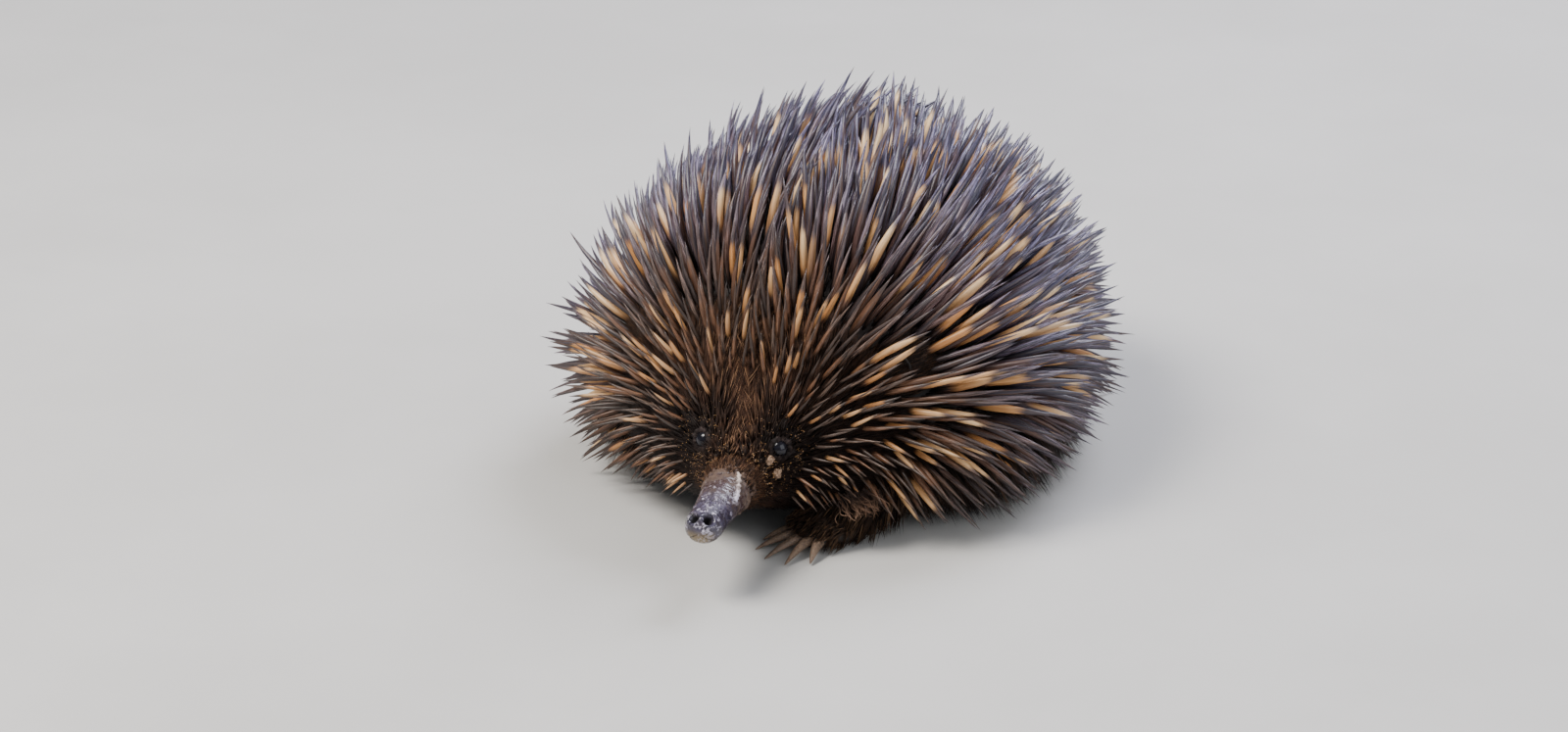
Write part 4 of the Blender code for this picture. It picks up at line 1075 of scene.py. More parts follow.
def leg_fur(number, name):
    """Hair down a leg and over the top of its paw."""
    path, radii, heading, *_ = LEGS[name]
    rng = np.random.default_rng(LEG_SEED + number)
    t = rng.uniform(LEG_FUR_FROM, 1.0, LEG_TUFTS)
    centre, radius, way, side, up = limb_frames(path, radii, t)
    turn = rng.uniform(0, FULL_TURN, len(t))
    normal = side * np.cos(turn)[:, None] + up * np.sin(turn)[:, None]
    root = centre + normal * (radius - LEG_INSET - ROOT_SUNK)[:, None]
    length = rng.uniform(*LEG_LENGTHS, len(t))
    forward = np.array((math.sin(heading), -math.cos(heading), 0.0))
    across = np.array((math.cos(heading), math.sin(heading), 0.0))
    paw_root, paw_normal, bearing, height = paw_roots(rng, path, forward, across)
    paw_lie = np.broadcast_to(forward - UP * PAW_DOWN, paw_root.shape)
    lie = unit(np.concatenate([way * LEG_ALONG - UP * LEG_DOWN, paw_lie]))
    root, normal = np.concatenate([root, paw_root]), np.concatenate([normal, paw_normal])
    length = np.concatenate([length, rng.uniform(*PAW_LENGTHS, len(paw_root))])
    round_way, place = np.concatenate([turn, bearing]), np.concatenate([t, height])
    patch = np.stack([(number + round_way / FULL_TURN) / 4, mix(*LEG_BAND, place)], axis=1)
    keep = root[:, 2] > LOWEST_ROOT
    root, normal, lie, length, patch = (item[keep] for item in (root, normal, lie, length, patch))
    return hairs("fur_" + name, root, normal, lie, length, LEG_LIFT, LEG_WIDTH, -UP * LEG_DROOP, rng, patch,
                 gather=LEG_GATHER)


leg_furs = [leg_fur(number, name) for number, name in enumerate(LEGS)]

# %% [markdown]
# ## The beak
# The beak is bare, smooth skin over bone: a tapering snout with two round nostrils on top of its
# blunt end and a very small mouth below them. The animal digs with it, so mud dries on it in a
# crust. It is lofted finely, and every point is then moved out or in by a height that adds up
# wrinkles, crust, the rims and pits of the nostrils and the line of the mouth. The same crust is
# kept with the points as a mask, so that colour and relief agree.

# %% Sections and marks of the beak
BEAK = (
    (-0.1150, 0.0345, 0.0125, 0.0108),
    (-0.1193, 0.0342, 0.0117, 0.0102),
    (-0.1260, 0.0340, 0.0105, 0.0092),
    (-0.1340, 0.0337, 0.0095, 0.0082),
    (-0.1430, 0.0332, 0.0086, 0.0073),
    (-0.1510, 0.0327, 0.0080, 0.0068),
    (-0.1590, 0.0322, 0.0079, 0.0067),
    (-0.1660, 0.0318, 0.0076, 0.0065),
)
BEAK_RINGS, BEAK_SIDES = 210, 120
# The blunt end: it closes in from here to the last section, and a higher power makes it blunter.
BLUNT_FROM, BLUNTNESS = -0.1570, 2.6
NOSTRIL = np.array((0.0029, -0.1628, 0.0366))
NOSTRIL_RADIUS, NOSTRIL_DEPTH, NOSTRIL_RIM = 0.0023, 0.0036, 0.0005
MOUTH_BACK = -0.1560
MOUTH_ANGLE = radians(128)
# The mouth's line is sunk a little and painted dark by this share, as shade in the crease.
MOUTH_DEPTH, MOUTH_SHADE = 0.0003, 0.42
# The chalky ridge of dried mud on the beak's left: its angles from the top at its front and back ends.
RIDGE_ENDS, RIDGE_ANGLES = (-0.1435, -0.1275), (radians(66), radians(24))
RIDGE_HALF_WIDTH, RIDGE_HEIGHT, RIDGE_WANDER = 0.0010, 0.0008, 0.10
# Where the chalk mask is over 1, no gap shows in the chalk.
SOLID_CHALK = 2.4
# Heights of the rest: chalk, clods of mud, the skin's unevenness and its wrinkles.
CHALK_HEIGHT, CLOD_HEIGHTS, UNEVEN_HEIGHT, WRINKLE_HEIGHT = 0.00010, (0.00045, 0.00035), 0.00007, 0.00022
WRINKLED_FROM, WRINKLED_REACH = -0.1480, 0.014
CLODS_FROM, CLODS_REACH = -0.1375, 0.009


def fractal(points, scale, octaves=4, offset=0.0):
    """Smooth cloudy noise at each point, about -1 to 1. The scale may differ along x, y and z."""
    points = points * np.asarray(scale) + np.array((offset, offset * 0.7, -offset))
    return np.array([noise.fractal(Vector(p), 1.0, 2.0, octaves) for p in points])


print(f"nostrils {NOSTRIL_RADIUS * 2000:.1f} mm across")

# %% Crust, streak and wrinkles of the beak
def beak_crust(straight, signed):
    """Masks of the chalk and of the clods of mud near the fur."""
    y = straight[:, 1]
    upper = smooth(1.6 - np.abs(signed) / 1.3)
    flakes = fractal(straight, (620, 300, 620), octaves=5, offset=3.0)
    flakes = flakes + 0.5 * fractal(straight, (160, 90, 160), octaves=2, offset=6.0)
    chalk = fade_in(flakes, 0.34, 0.16) * mix(0.30, 1.0, upper)
    base = fade_in(y, CLODS_FROM, CLODS_REACH)
    clods = smooth((fractal(straight, 330, octaves=5, offset=11.0) + 0.42 * base - 0.30) / 0.14)
    return chalk, clods * smooth(base * 3)


def chalk_ridge(straight, signed, half_width):
    """Mask of the raised streak on the beak's left, which wanders and has ragged edges."""
    (front, back), y = RIDGE_ENDS, straight[:, 1]
    share = np.clip((y - front) / (back - front), 0, 1)
    wander = mix(*RIDGE_ANGLES, share)
    wander = wander + RIDGE_WANDER * fractal(straight, (0.1, 700, 0.1), octaves=3, offset=2.0)
    ridge = np.exp(-(((signed - wander) * half_width / RIDGE_HALF_WIDTH) ** 2))
    ridge *= fade_in(y, front, 0.002) * smooth((back - y) / 0.0015)
    return smooth((ridge + 0.25 * fractal(straight, 900, octaves=4, offset=8.0) - 0.30) / 0.25)


def beak_relief(straight, chalk, clods, ridge):
    """The height of crust, streak and wrinkles over the bare form, in metres."""
    height = np.minimum(chalk, 1) * (CHALK_HEIGHT + CHALK_HEIGHT * fractal(straight, 1100, 3, offset=7.0))
    height += clods * (CLOD_HEIGHTS[0] + CLOD_HEIGHTS[1] * fractal(straight, 900, octaves=3, offset=9.0))
    height += ridge * RIDGE_HEIGHT * (1 + 0.5 * fractal(straight, 1300, octaves=3, offset=4.0))
    height += UNEVEN_HEIGHT * fractal(straight, 420, octaves=4, offset=1.0)
    wrinkled = fade_in(straight[:, 1], WRINKLED_FROM, WRINKLED_REACH)
    height += wrinkled * WRINKLE_HEIGHT * fractal(straight, (260, 1000, 260), octaves=4, offset=5.0)
    return height


def sink_nostrils(straight, height):
    """Presses both nostrils into the height, with a rim round each, and gives the mask of their pits."""
    pit = np.zeros(len(straight))
    for side in (1, -1):
        away = distances(straight, NOSTRIL * np.array((side, 1, 1)))
        hole = 1 - smooth((away - NOSTRIL_RADIUS * 0.68) / (NOSTRIL_RADIUS * 0.36))
        rim = np.exp(-(((away - NOSTRIL_RADIUS * 1.25) / (NOSTRIL_RADIUS * 0.35)) ** 2))
        height += NOSTRIL_RIM * rim - NOSTRIL_DEPTH * hole
        pit = np.maximum(pit, hole)
    return pit


print(f"the streak is {(RIDGE_ENDS[1] - RIDGE_ENDS[0]) * 1000:.0f} mm long")

# %% Model the beak
def beak_surface(angle, y, level, half_width, half_height):
    """The outward directions and the points of the beak's form, before it is turned."""
    out = np.stack([np.sin(angle), np.zeros(len(y)), np.cos(angle)], axis=1)
    return out, np.stack([half_width * out[:, 0], y, level + half_height * out[:, 2]], axis=1)


def make_beak():
    # The rings crowd towards the tip, where the form turns in.
    t = np.repeat(np.sin(np.linspace(0, 0.999, BEAK_RINGS) * math.pi / 2), BEAK_SIDES)
    angle = np.tile(np.linspace(0, FULL_TURN, BEAK_SIDES, endpoint=False), BEAK_RINGS)
    signed = np.where(angle > math.pi, angle - FULL_TURN, angle)
    y, level, half_width, half_height = along(BEAK, t).T
    past = np.clip((BLUNT_FROM - y) / (BLUNT_FROM - BEAK[-1][0]), 0, 1)
    closing = (1 - past**BLUNTNESS) ** (1 / BLUNTNESS)
    half_width, half_height = half_width * closing, half_height * closing
    out, straight = beak_surface(angle, y, level, half_width, half_height)
    outwards = unit(out * (1 - 0.8 * past[:, None] ** 4) + np.array((0, -1.0, 0)) * past[:, None] ** 2)
    chalk, clods = beak_crust(straight, signed)
    ridge = chalk_ridge(straight, signed, half_width)
    chalk = np.maximum(chalk, SOLID_CHALK * ridge)
    height = beak_relief(straight, chalk, clods, ridge)
    pit = sink_nostrils(straight, height)
    lip = np.exp(-(((np.abs(signed) - MOUTH_ANGLE) / 0.075) ** 2)) * smooth((MOUTH_BACK - y) / 0.002)
    height -= MOUTH_DEPTH * lip
    points = turned(straight + outwards * height[:, None])
    made = tube("beak", points.reshape(BEAK_RINGS, BEAK_SIDES, 3))
    # The marks: chalk, the painted shade of nostrils and mouth, and the clods.
    marks = np.stack([chalk * (1 - pit), np.maximum(pit, lip * MOUTH_SHADE), clods * (1 - ridge)], axis=1)
    store(made.data, "marks", np.concatenate([marks, marks[:1], marks[-1:]]))
    store(made.data, "straight", np.concatenate([straight, straight[:1], straight[-1:]]))
    return made


beak = make_beak()
print("beak:", triangle_count(beak), "triangles")

# %% [markdown]
# Short hair grows a few millimetres on to the beak's root, ever thinner, and lies back over the
# edge, so that the fur doesn't stop in a line. It is rooted on the beak's own sections.

# %% Hair on the beak's root
BEAK_HAIR_FRONT, BEAK_HAIR_FADE = -0.1330, 0.0075
BEAK_HAIR_SEED, BEAK_HAIR_DRAWS, BEAK_HAIR_REACH = 27, 8200, (0.05, 0.37)
BEAK_HAIR_LENGTHS, BEAK_HAIR_LIFT, BEAK_HAIR_WIDTH = (0.0035, 0.0068), 0.50, 0.00026
BEAK_HAIR_SUNK, BEAK_HAIR_TONE = 0.0004, 1.15


def turned_way(points, way):
    """Directions at points of the straight animal after the head has turned."""
    return unit(turned(points + way * 0.001) - turned(points))


def beak_root_fur():
    rng = np.random.default_rng(BEAK_HAIR_SEED)
    t, turn = rng.uniform(*BEAK_HAIR_REACH, BEAK_HAIR_DRAWS), rng.uniform(0, FULL_TURN, BEAK_HAIR_DRAWS)
    rows = np.column_stack([t, turn, along(BEAK, t)])
    kept = rng.uniform(0, 1, len(t)) < fade_in(rows[:, 2], BEAK_HAIR_FRONT, BEAK_HAIR_FADE)
    t, turn, y, *sizes = rows[kept].T
    out, straight = beak_surface(turn, y, *sizes)
    straight = straight - out * BEAK_HAIR_SUNK
    lie = turned_way(straight, np.broadcast_to(np.array((0, 1.0, 0)), straight.shape))
    root, normal = turned(straight), turned_way(straight, out)
    length = rng.uniform(*BEAK_HAIR_LENGTHS, len(t)) * mix(0.6, 1.0, smooth((y + 0.131) / 0.008))
    return hairs("fur_beak_root", root, normal, lie, length, BEAK_HAIR_LIFT, BEAK_HAIR_WIDTH, NO_DROOP, rng,
                 body_patch(t * 0.02, turn), gather=LONG_GATHER, tone=BEAK_HAIR_TONE)


fur_beak_root = beak_root_fur()

# %% [markdown]
# ## Eyes and lids
# The eyes are small, dark and bulging, and sit deep in short fur on each side of the beak's root. A
# big eye would need a clear bulge over it. Here one glossy dark ball is enough, because the whole
# eye is eight millimetres across. The wrinkled lid that grips it is modelled, with uneven folds.

# %% Model the eyes and their lids
EYE_SEGMENTS, EYE_RINGS = 40, 26
LID_RADIUS, LID_STAND = 0.00100, 0.0002
LID_TURNS, LID_SIDES = 72, 18
# The lid's ring: its width and height against its radius, and how far it closes in above and below.
LID_WIDE, LID_HIGH, LID_OPEN, LID_CLOSES = 1.15, 0.95, 1.02, 0.10


def make_eye(name, side):
    centre, look, _, _ = eye_frame(side)
    bm = bmesh.new()
    bmesh.ops.create_uvsphere(bm, u_segments=EYE_SEGMENTS, v_segments=EYE_RINGS, radius=EYE_RADIUS)
    tilt = Vector(look).to_track_quat("Z", "Y").to_matrix().to_4x4()
    bmesh.ops.transform(bm, matrix=Matrix.Translation(centre) @ tilt, verts=bm.verts)
    eye = object_from(name, bm)
    eye.data.shade_smooth()
    return eye


def make_lids(name, side):
    """The wrinkled ring of skin round an eye: a roll whose radius and height vary round the eye."""
    centre, look, back, _ = eye_frame(side)
    across = unit(back - look * back.dot(look))
    upright = np.cross(look, across)
    # The folds: how deep each is, how many there are round the eye, and where they start.
    folds = ((0.22, 5, side), (0.20, 11, 2), (0.10, 23, 0))
    rings = []
    for i in range(LID_TURNS):
        a = FULL_TURN * i / LID_TURNS
        out = across * math.cos(a) + upright * math.sin(a)
        fold = sum(depth * math.sin(count * a + start) for depth, count, start in folds)
        middle = centre + look * (EYE_DEPTH + LID_STAND)
        middle = middle + out * (EYE_RADIUS * (LID_OPEN - LID_CLOSES * abs(math.sin(a))))
        width, height = LID_RADIUS * (LID_WIDE + fold), LID_RADIUS * (LID_HIGH + fold)
        rings.append(ring(middle, out, look, width, height, LID_SIDES))
    count = LID_TURNS * LID_SIDES
    i = np.arange(LID_TURNS)[:, None] * LID_SIDES
    k = np.arange(LID_SIDES)
    beside, after = (k + 1) % LID_SIDES, (i + LID_SIDES) % count
    quads = np.stack([i + k, after + k, after + beside, i + beside], axis=2)
    return mesh_object(name, np.concatenate(rings), quads, np.zeros((0, 3), int))


eyes = [make_eye("eye_ball_left", 1), make_eye("eye_ball_right", -1)]
lids = [make_lids("lids_left", 1), make_lids("lids_right", -1)]
print("eyes", round(EYE_RADIUS * 2000, 1), "mm across")

# %% [markdown]
# ## Sand, dried mud and a curly tuft
# Two lumps of dried mud cling between the left eye and the beak, balls whose surface is pushed out
# and in by cloudy noise. Grains of golden sand sit in the short hair round both eyes and along the
# beak's root, each a tiny rough ball. Caught among the last spines under the left cheek is a tuft
# of curled brown hair, whose strands are spirals that widen towards their ends.

# %% Sand in the fur
SAND_SEED, SAND_DRAWS = 51, 18000
SAND_ENDS, SAND_ANGLES = (-0.1195, -0.098), (radians(10), radians(110))
FINE_CRUMB, FINE_CRUMBS, CRUMB_EYE_GAP = (0.00008, 0.00025), 1100, 0.0016
# How likely a grain is round the eyes, within this reach, and at the beak's root, in front of here.
EYE_SAND, EYE_SAND_REACH, MUZZLE_SAND, MUZZLE_SAND_FROM = 0.30, 0.016, 0.12, -0.1150
GRAIN_ROUGHNESS, GRAIN_STRETCH, GRAIN_HEIGHTS = (0.72, 1.15), (0.7, 1.25), (0.0018, 0.0046)


def round_ball(subdivisions):
    """The points and triangles of a ball of radius 1."""
    bm = bmesh.new()
    bmesh.ops.create_icosphere(bm, subdivisions=subdivisions, radius=1.0)
    points = np.array([vert.co for vert in bm.verts])
    faces = np.array([[vert.index for vert in face.verts] for face in bm.faces])
    bm.free()
    return points, faces


def balls_object(name, points, faces):
    """One mesh of balls, points being (balls, points of a ball, 3)."""
    count, each = points.shape[:2]
    triangles = faces[None] + (np.arange(count) * each)[:, None, None]
    return mesh_object(name, points.reshape(-1, 3), np.zeros((0, 4), int), triangles)


def make_crumbs():
    rng = np.random.default_rng(SAND_SEED)
    _, _, y, root, normal, *_ = trunk_roots(rng, SAND_DRAWS, SAND_ENDS, SAND_ANGLES)
    at_muzzle = smooth((MUZZLE_SAND_FROM - y) / 0.003)
    likely = near_eyes(root, EYE_SAND_REACH) * EYE_SAND + at_muzzle * MUZZLE_SAND
    likely = likely * smooth((fractal(root, 420, octaves=3, offset=2.0) + 0.22) / 0.45)
    off_eyes = near_eyes(root, CRUMB_EYE_GAP) == 0
    kept = (rng.uniform(0, 1, len(root)) < likely) & off_eyes
    root, normal = root[kept][:FINE_CRUMBS], normal[kept][:FINE_CRUMBS]
    count = len(root)
    places = root + normal * rng.uniform(*GRAIN_HEIGHTS, (count, 1))
    sizes = rng.uniform(*FINE_CRUMB, count)
    ball, faces = round_ball(1)
    rough = rng.uniform(*GRAIN_ROUGHNESS, (count, len(ball), 1))
    stretch = rng.uniform(*GRAIN_STRETCH, (count, 1, 3))
    points = places[:, None] + ball[None] * rough * stretch * sizes[:, None, None]
    return balls_object("sand_crumbs", points, faces)


crumbs = make_crumbs()
print("sand_crumbs", triangle_count(crumbs), "triangles")

# %% Lumps of mud
# Place along the trunk, angle from the top, half sizes backwards, downwards and outwards.
LUMPS = (
    (-0.1139, radians(58), (0.0019, 0.0015, 0.0013)),
    (-0.1134, radians(80), (0.0016, 0.0022, 0.0014)),
)
LUMP_STAND, LUMP_UNEVEN, LUMP_ROUGH = 0.0014, 0.42, 0.13


def make_lumps():
    """Clods of dried mud: balls squashed to size, whose surface cloudy noise pushes out and in."""
    ball, faces = round_ball(5)
    points = []
    for number, (y, angle, size) in enumerate(LUMPS):
        here, normal, back, down = frame_at(y, angle)
        rough = 1 + LUMP_UNEVEN * fractal(ball, 1.3, octaves=4, offset=3.0 + 9 * number)
        rough = rough + LUMP_ROUGH * fractal(ball, 6.0, octaves=4, offset=number)
        lump = (ball * rough[:, None] * size) @ np.stack([back, down, normal])
        points.append(here + LUMP_STAND * normal + lump)
    return balls_object("mud_lumps", np.array(points), faces)


lumps = make_lumps()
print("mud_lumps", triangle_count(lumps), "triangles")

# %% The curly tuft
TUFT_SEED, TUFT_PLACE = 52, (-0.0895, radians(116))
TUFT_STRANDS, TUFT_LENGTH, TUFT_STAND, TUFT_RADIUS = 120, 0.0100, 0.0085, 0.00030
TUFT_WIDE, TUFT_HIGH, TUFT_CURL, TUFT_TURNS = 0.0035, 0.0015, 0.0017, (0.5, 1.4)
TUFT_STEPS, TUFT_SIDES = np.linspace(0, 1, 12), 4


def curly_tuft():
    rng = np.random.default_rng(TUFT_SEED)
    y, angle = TUFT_PLACE
    each = (TUFT_STRANDS, 1)
    t, at = t_at(np.full(TUFT_STRANDS, y)), np.full(TUFT_STRANDS, angle)
    here, normal, back, down = trunk_frames(t, at)
    root = here + rng.normal(0, TUFT_WIDE, each) * back + rng.normal(0, TUFT_HIGH, each) * down
    root = root + normal * TUFT_STAND
    way = unit(normal * 0.55 - UP * 0.60 + back * 0.45 + rng.normal(0, 0.20, root.shape))
    length = TUFT_LENGTH * rng.uniform(0.6, 1.15, (*each, 1))
    turn = FULL_TURN * rng.uniform(*TUFT_TURNS, each) * TUFT_STEPS + rng.uniform(0, FULL_TURN, each)
    curl = (TUFT_CURL * TUFT_STEPS)[None, :, None]
    side, up = unit(np.cross(way, UP)), unit(np.cross(np.cross(way, UP), way))
    lines = root[:, None] + way[:, None] * length * TUFT_STEPS[None, :, None]
    lines = lines + curl * (side[:, None] * np.cos(turn)[..., None] + up[:, None] * np.sin(turn)[..., None])
    lines[..., 2] = np.maximum(lines[..., 2], HAIR_FLOOR)
    thin = TUFT_RADIUS * (1 - 0.6 * TUFT_STEPS[:-1])
    radii = np.broadcast_to(thin, (TUFT_STRANDS, len(thin)))
    chance = rng.uniform(0.35, 1, (TUFT_STRANDS, 3))
    return strands("curly_tuft", lines, radii, TUFT_STEPS, TUFT_SIDES, chance, body_patch(t, at))


tuft = curly_tuft()
print("curly_tuft", triangle_count(tuft), "triangles")

# %% [markdown]
# ## Claws
# The forefeet have broad, blunt digging claws and the hind feet long curved grooming claws. Each is
# a bent cone of horn, rounded above and flatter below, and grooved along its length. They are
# lofted one by one from the length and arch that the solids have.

# %% Model the claws
CLAW_RINGS, CLAW_SIDES = 26, 20
CLAW_SUNK = 0.0040
CLAW_TIP_HEIGHT, CLAW_TAPER, CLAW_SINK_POWER, CLAW_ROOM = 0.0010, 0.62, 1.3, 1.15
CLAW_GROOVES, CLAW_GROOVE_DEPTH = 6, 0.035
# A claw is rounded above and flatter below: its heights against its half width.
CLAW_ABOVE, CLAW_BELOW, CLAW_LEAST_HEIGHT = 0.95, 0.62, 0.75
CLAW_GAP = 0.0003


def make_claw(name, start, way, length, half_width, arch):
    side = np.cross(way, UP)
    turn = np.linspace(0, FULL_TURN, CLAW_SIDES, endpoint=False)
    up = np.where(np.sin(turn) > 0, np.sin(turn) * CLAW_ABOVE, np.sin(turn) * CLAW_BELOW)
    rings = []
    for share in np.linspace(-CLAW_SUNK / length, 0.985, CLAW_RINGS):
        forward = max(share, 0.0)
        wide = half_width * CLAW_ROOM * (1 - forward) ** CLAW_TAPER
        height = start[2] + (CLAW_TIP_HEIGHT - start[2]) * forward**CLAW_SINK_POWER
        height = max(height + arch * math.sin(math.pi * forward), wide * CLAW_LEAST_HEIGHT)
        centre = np.array((start[0], start[1], height)) + way * (length * share)
        groove = 1 + CLAW_GROOVE_DEPTH * np.cos(turn * CLAW_GROOVES) * (1 - forward)
        sideways, upwards = wide * groove * np.cos(turn), wide * groove * up
        rings.append(centre + side * sideways[:, None] + UP * upwards[:, None])
    claw = tube(name, rings)
    share = np.clip(np.linspace(-CLAW_SUNK / length, 1, CLAW_RINGS), 0, 1)
    strand = np.zeros((CLAW_RINGS * CLAW_SIDES + 2, 3))
    strand[:-2, 0] = np.repeat(share, CLAW_SIDES)
    strand[-1, 0] = 1
    grain = np.zeros_like(strand)
    grain[:-2, 0], grain[:-2, 1] = np.tile(np.cos(turn), CLAW_RINGS), np.tile(np.sin(turn), CLAW_RINGS)
    # Each length of claw has its own grain.
    grain[:, 2] = length * 37 % 1
    store(claw.data, "strand", strand)
    store(claw.data, "grain", grain)
    return claw


claws = {}
for leg_name, (path, _, heading, lengths, half_width, arch) in LEGS.items():
    middle = paw_middle(path) + UP * TOE_HEIGHT
    for number, way in enumerate(digit_ways(heading)):
        node = f"claw_{leg_name}_{number + 1}"
        start = middle + way * (TOE_REACH + CLAW_GAP)
        claws[node] = make_claw("horn_" + node, start, way, lengths[number], half_width, arch)
print(len(claws), "claws")

# %% [markdown]
# ## Materials
# Three effects are shared, and each is built once as a node group: the fibres that run along horn
# and hair, the dried mud of beak, lids and claws with the sand in it, and the mottling of skin.
# The groups put out colours, masks and heights. The Principled shader stays in each material.

# %% Helpers for nodes
def add_node(tree, kind, settings=None, **inputs):
    """A node with its settings. An input that is another node's socket is linked, else it is set."""
    node = tree.nodes.new("ShaderNode" + kind)
    for name, value in (settings or {}).items():
        setattr(node, name, value)
    for name, value in inputs.items():
        by_number = name[0] == "i" and name[1:].isdigit()
        socket = node.inputs[int(name[1:]) if by_number else name.replace("_", " ")]
        if isinstance(value, bpy.types.NodeSocket):
            tree.links.new(value, socket)
        else:
            socket.default_value = value
    return node


def calc(tree, operation, a, b=0.0, c=0.0, clamp=False):
    node = add_node(tree, "Math", {"operation": operation, "use_clamp": clamp}, i0=a, i1=b, i2=c)
    return node.outputs[0]


def times(tree, a, b, clamp=False):
    return calc(tree, "MULTIPLY", a, b, clamp=clamp)


def line(tree, value, slope, start, clamp=False):
    """A value times a slope, plus a start."""
    return calc(tree, "MULTIPLY_ADD", value, slope, start, clamp)


def blend(tree, share, a, b):
    """A colour between two others."""
    return add_node(tree, "Mix", {"data_type": "RGBA"}, i0=share, i6=a, i7=b).outputs[2]


def ramp(tree, value, low, high, to_low=0.0, to_high=1.0):
    """A value moved from one range to another, with soft ends."""
    node = add_node(tree, "MapRange", {"interpolation_type": "SMOOTHSTEP"},
                    i0=value, i1=low, i2=high, i3=to_low, i4=to_high)
    return node.outputs[0]


def cloudy(tree, place, scale, detail, roughness=0.5):
    """Cloudy noise from 0 to 1."""
    node = add_node(tree, "TexNoise", Vector=place, Scale=scale, Detail=detail, Roughness=roughness)
    return node.outputs[0]


def object_place(tree):
    """Where a point lies on the model, in metres."""
    return add_node(tree, "TexCoord").outputs["Object"]


def parts_of(tree, vector):
    """The three numbers of a vector."""
    return add_node(tree, "SeparateXYZ", i0=vector).outputs


def attribute(tree, name):
    """The three numbers kept with each point."""
    return parts_of(tree, add_node(tree, "Attribute", {"attribute_name": name}).outputs["Vector"])


def new_group(name, inputs, outputs):
    """An empty node group with named sockets: (name, kind, default)."""
    group = bpy.data.node_groups.new(name, "ShaderNodeTree")
    for label, kind, default in inputs:
        socket = group.interface.new_socket(label, in_out="INPUT", socket_type="NodeSocket" + kind)
        if default is not None:
            socket.default_value = default
    for label, kind in outputs:
        group.interface.new_socket(label, in_out="OUTPUT", socket_type="NodeSocket" + kind)
    return group, group.nodes.new("NodeGroupInput").outputs, group.nodes.new("NodeGroupOutput").inputs


def use_group(tree, group, **inputs):
    return add_node(tree, "Group", {"node_tree": group}, **inputs).outputs


def new_material(name, **sockets):
    """A material with a Principled shader, whose plain values are set on its own sockets."""
    material = bpy.data.materials.new(name)
    material.use_nodes = True
    shader = material.node_tree.nodes["Principled BSDF"]
    for label, value in sockets.items():
        shader.inputs[label.replace("_", " ")].default_value = value
    return material, material.node_tree, shader


def finish_surface(tree, shader, colour, roughness=None, height=None, strength=0.4, distance=0.0004):
    """Links colour, roughness and relief to a shader."""
    tree.links.new(colour, shader.inputs["Base Color"])
    if roughness is not None:
        tree.links.new(roughness, shader.inputs["Roughness"])
    if height is not None:
        bump = add_node(tree, "Bump", Strength=strength, Distance=distance, Height=height)
        tree.links.new(bump.outputs[0], shader.inputs["Normal"])


print("helpers for nodes ready")

# %% Shared effects
MUD_DARK, MUD_PALE, SAND = (0.120, 0.066, 0.038, 1), (0.38, 0.255, 0.170, 1), (0.58, 0.48, 0.38, 1)
# The mud's grit and shades against the size of its patches, and how sharp their edges are.
GRIT_FINER, SHADE_FINER, PATCH_SHARPNESS = 9.0, 2.5, 12.0
PEBBLE_FINER, STRAND_SPREAD = 8.0, 61.0


def fibres_group():
    """Streaks that run along a strand: noise that is fine round it and long down it."""
    group, given, out = new_group(
        "fibres_along",
        [("Fineness", "Float", 2.0), ("Length", "Float", 3.0)],
        [("Streaks", "Float"), ("Blotches", "Float")],
    )
    strand, grain = attribute(group, "strand"), attribute(group, "grain")
    x, y = times(group, grain[0], given["Fineness"]), times(group, grain[1], given["Fineness"])
    z = line(group, grain[2], STRAND_SPREAD, times(group, strand[0], given["Length"]))
    place = add_node(group, "CombineXYZ", i0=x, i1=y, i2=z).outputs[0]
    group.links.new(cloudy(group, place, 2.2, 5.0, 0.65), out["Streaks"])
    group.links.new(cloudy(group, place, 0.8, 2.0), out["Blotches"])
    return group


def mud_group():
    """Dried mud and the sand in it: a mask in uneven patches, its colour and its crumbly height."""
    group, given, out = new_group(
        "dried_mud",
        [("Place", "Vector", None), ("Amount", "Float", 0.5), ("Size", "Float", 200.0)],
        [("Mask", "Float"), ("Mud Colour", "Color"), ("Height", "Float")],
    )
    place, size = given["Place"], given["Size"]
    patches = cloudy(group, place, size, 6.0, 0.62)
    edge = line(group, calc(group, "SUBTRACT", 1.0, given["Amount"]), 0.5, 0.25)
    mask = times(group, calc(group, "SUBTRACT", patches, edge), PATCH_SHARPNESS, clamp=True)
    grit = add_node(group, "TexVoronoi", Vector=place, Scale=times(group, size, GRIT_FINER))
    grains = grit.outputs["Distance"]
    shade = cloudy(group, place, times(group, size, SHADE_FINER), 4.0)
    tan = blend(group, ramp(group, shade, 0.35, 0.65), MUD_DARK, MUD_PALE)
    sandy = blend(group, ramp(group, grains, 0.10, 0.32, 0.40, 0.0), tan, SAND)
    height = times(group, mask, line(group, grains, 0.5, 0.6))
    group.links.new(mask, out["Mask"])
    group.links.new(sandy, out["Mud Colour"])
    group.links.new(height, out["Height"])
    return group


def mottle_group():
    """Soft variation between two colours, as on bare or thinly haired skin, with a pebbled height."""
    group, given, out = new_group(
        "mottled_skin",
        [("Place", "Vector", None), ("Dark", "Color", (0, 0, 0, 1)),
         ("Light", "Color", (1, 1, 1, 1)), ("Size", "Float", 120.0)],
        [("Skin Colour", "Color"), ("Pebbles", "Float")],
    )
    tone = ramp(group, cloudy(group, given["Place"], given["Size"], 5.0, 0.6), 0.35, 0.68)
    group.links.new(blend(group, tone, given["Dark"], given["Light"]), out["Skin Colour"])
    cells = add_node(group, "TexVoronoi", {"feature": "SMOOTH_F1"}, Vector=given["Place"],
                     Scale=times(group, given["Size"], PEBBLE_FINER))
    group.links.new(cells.outputs["Distance"], out["Pebbles"])
    return group


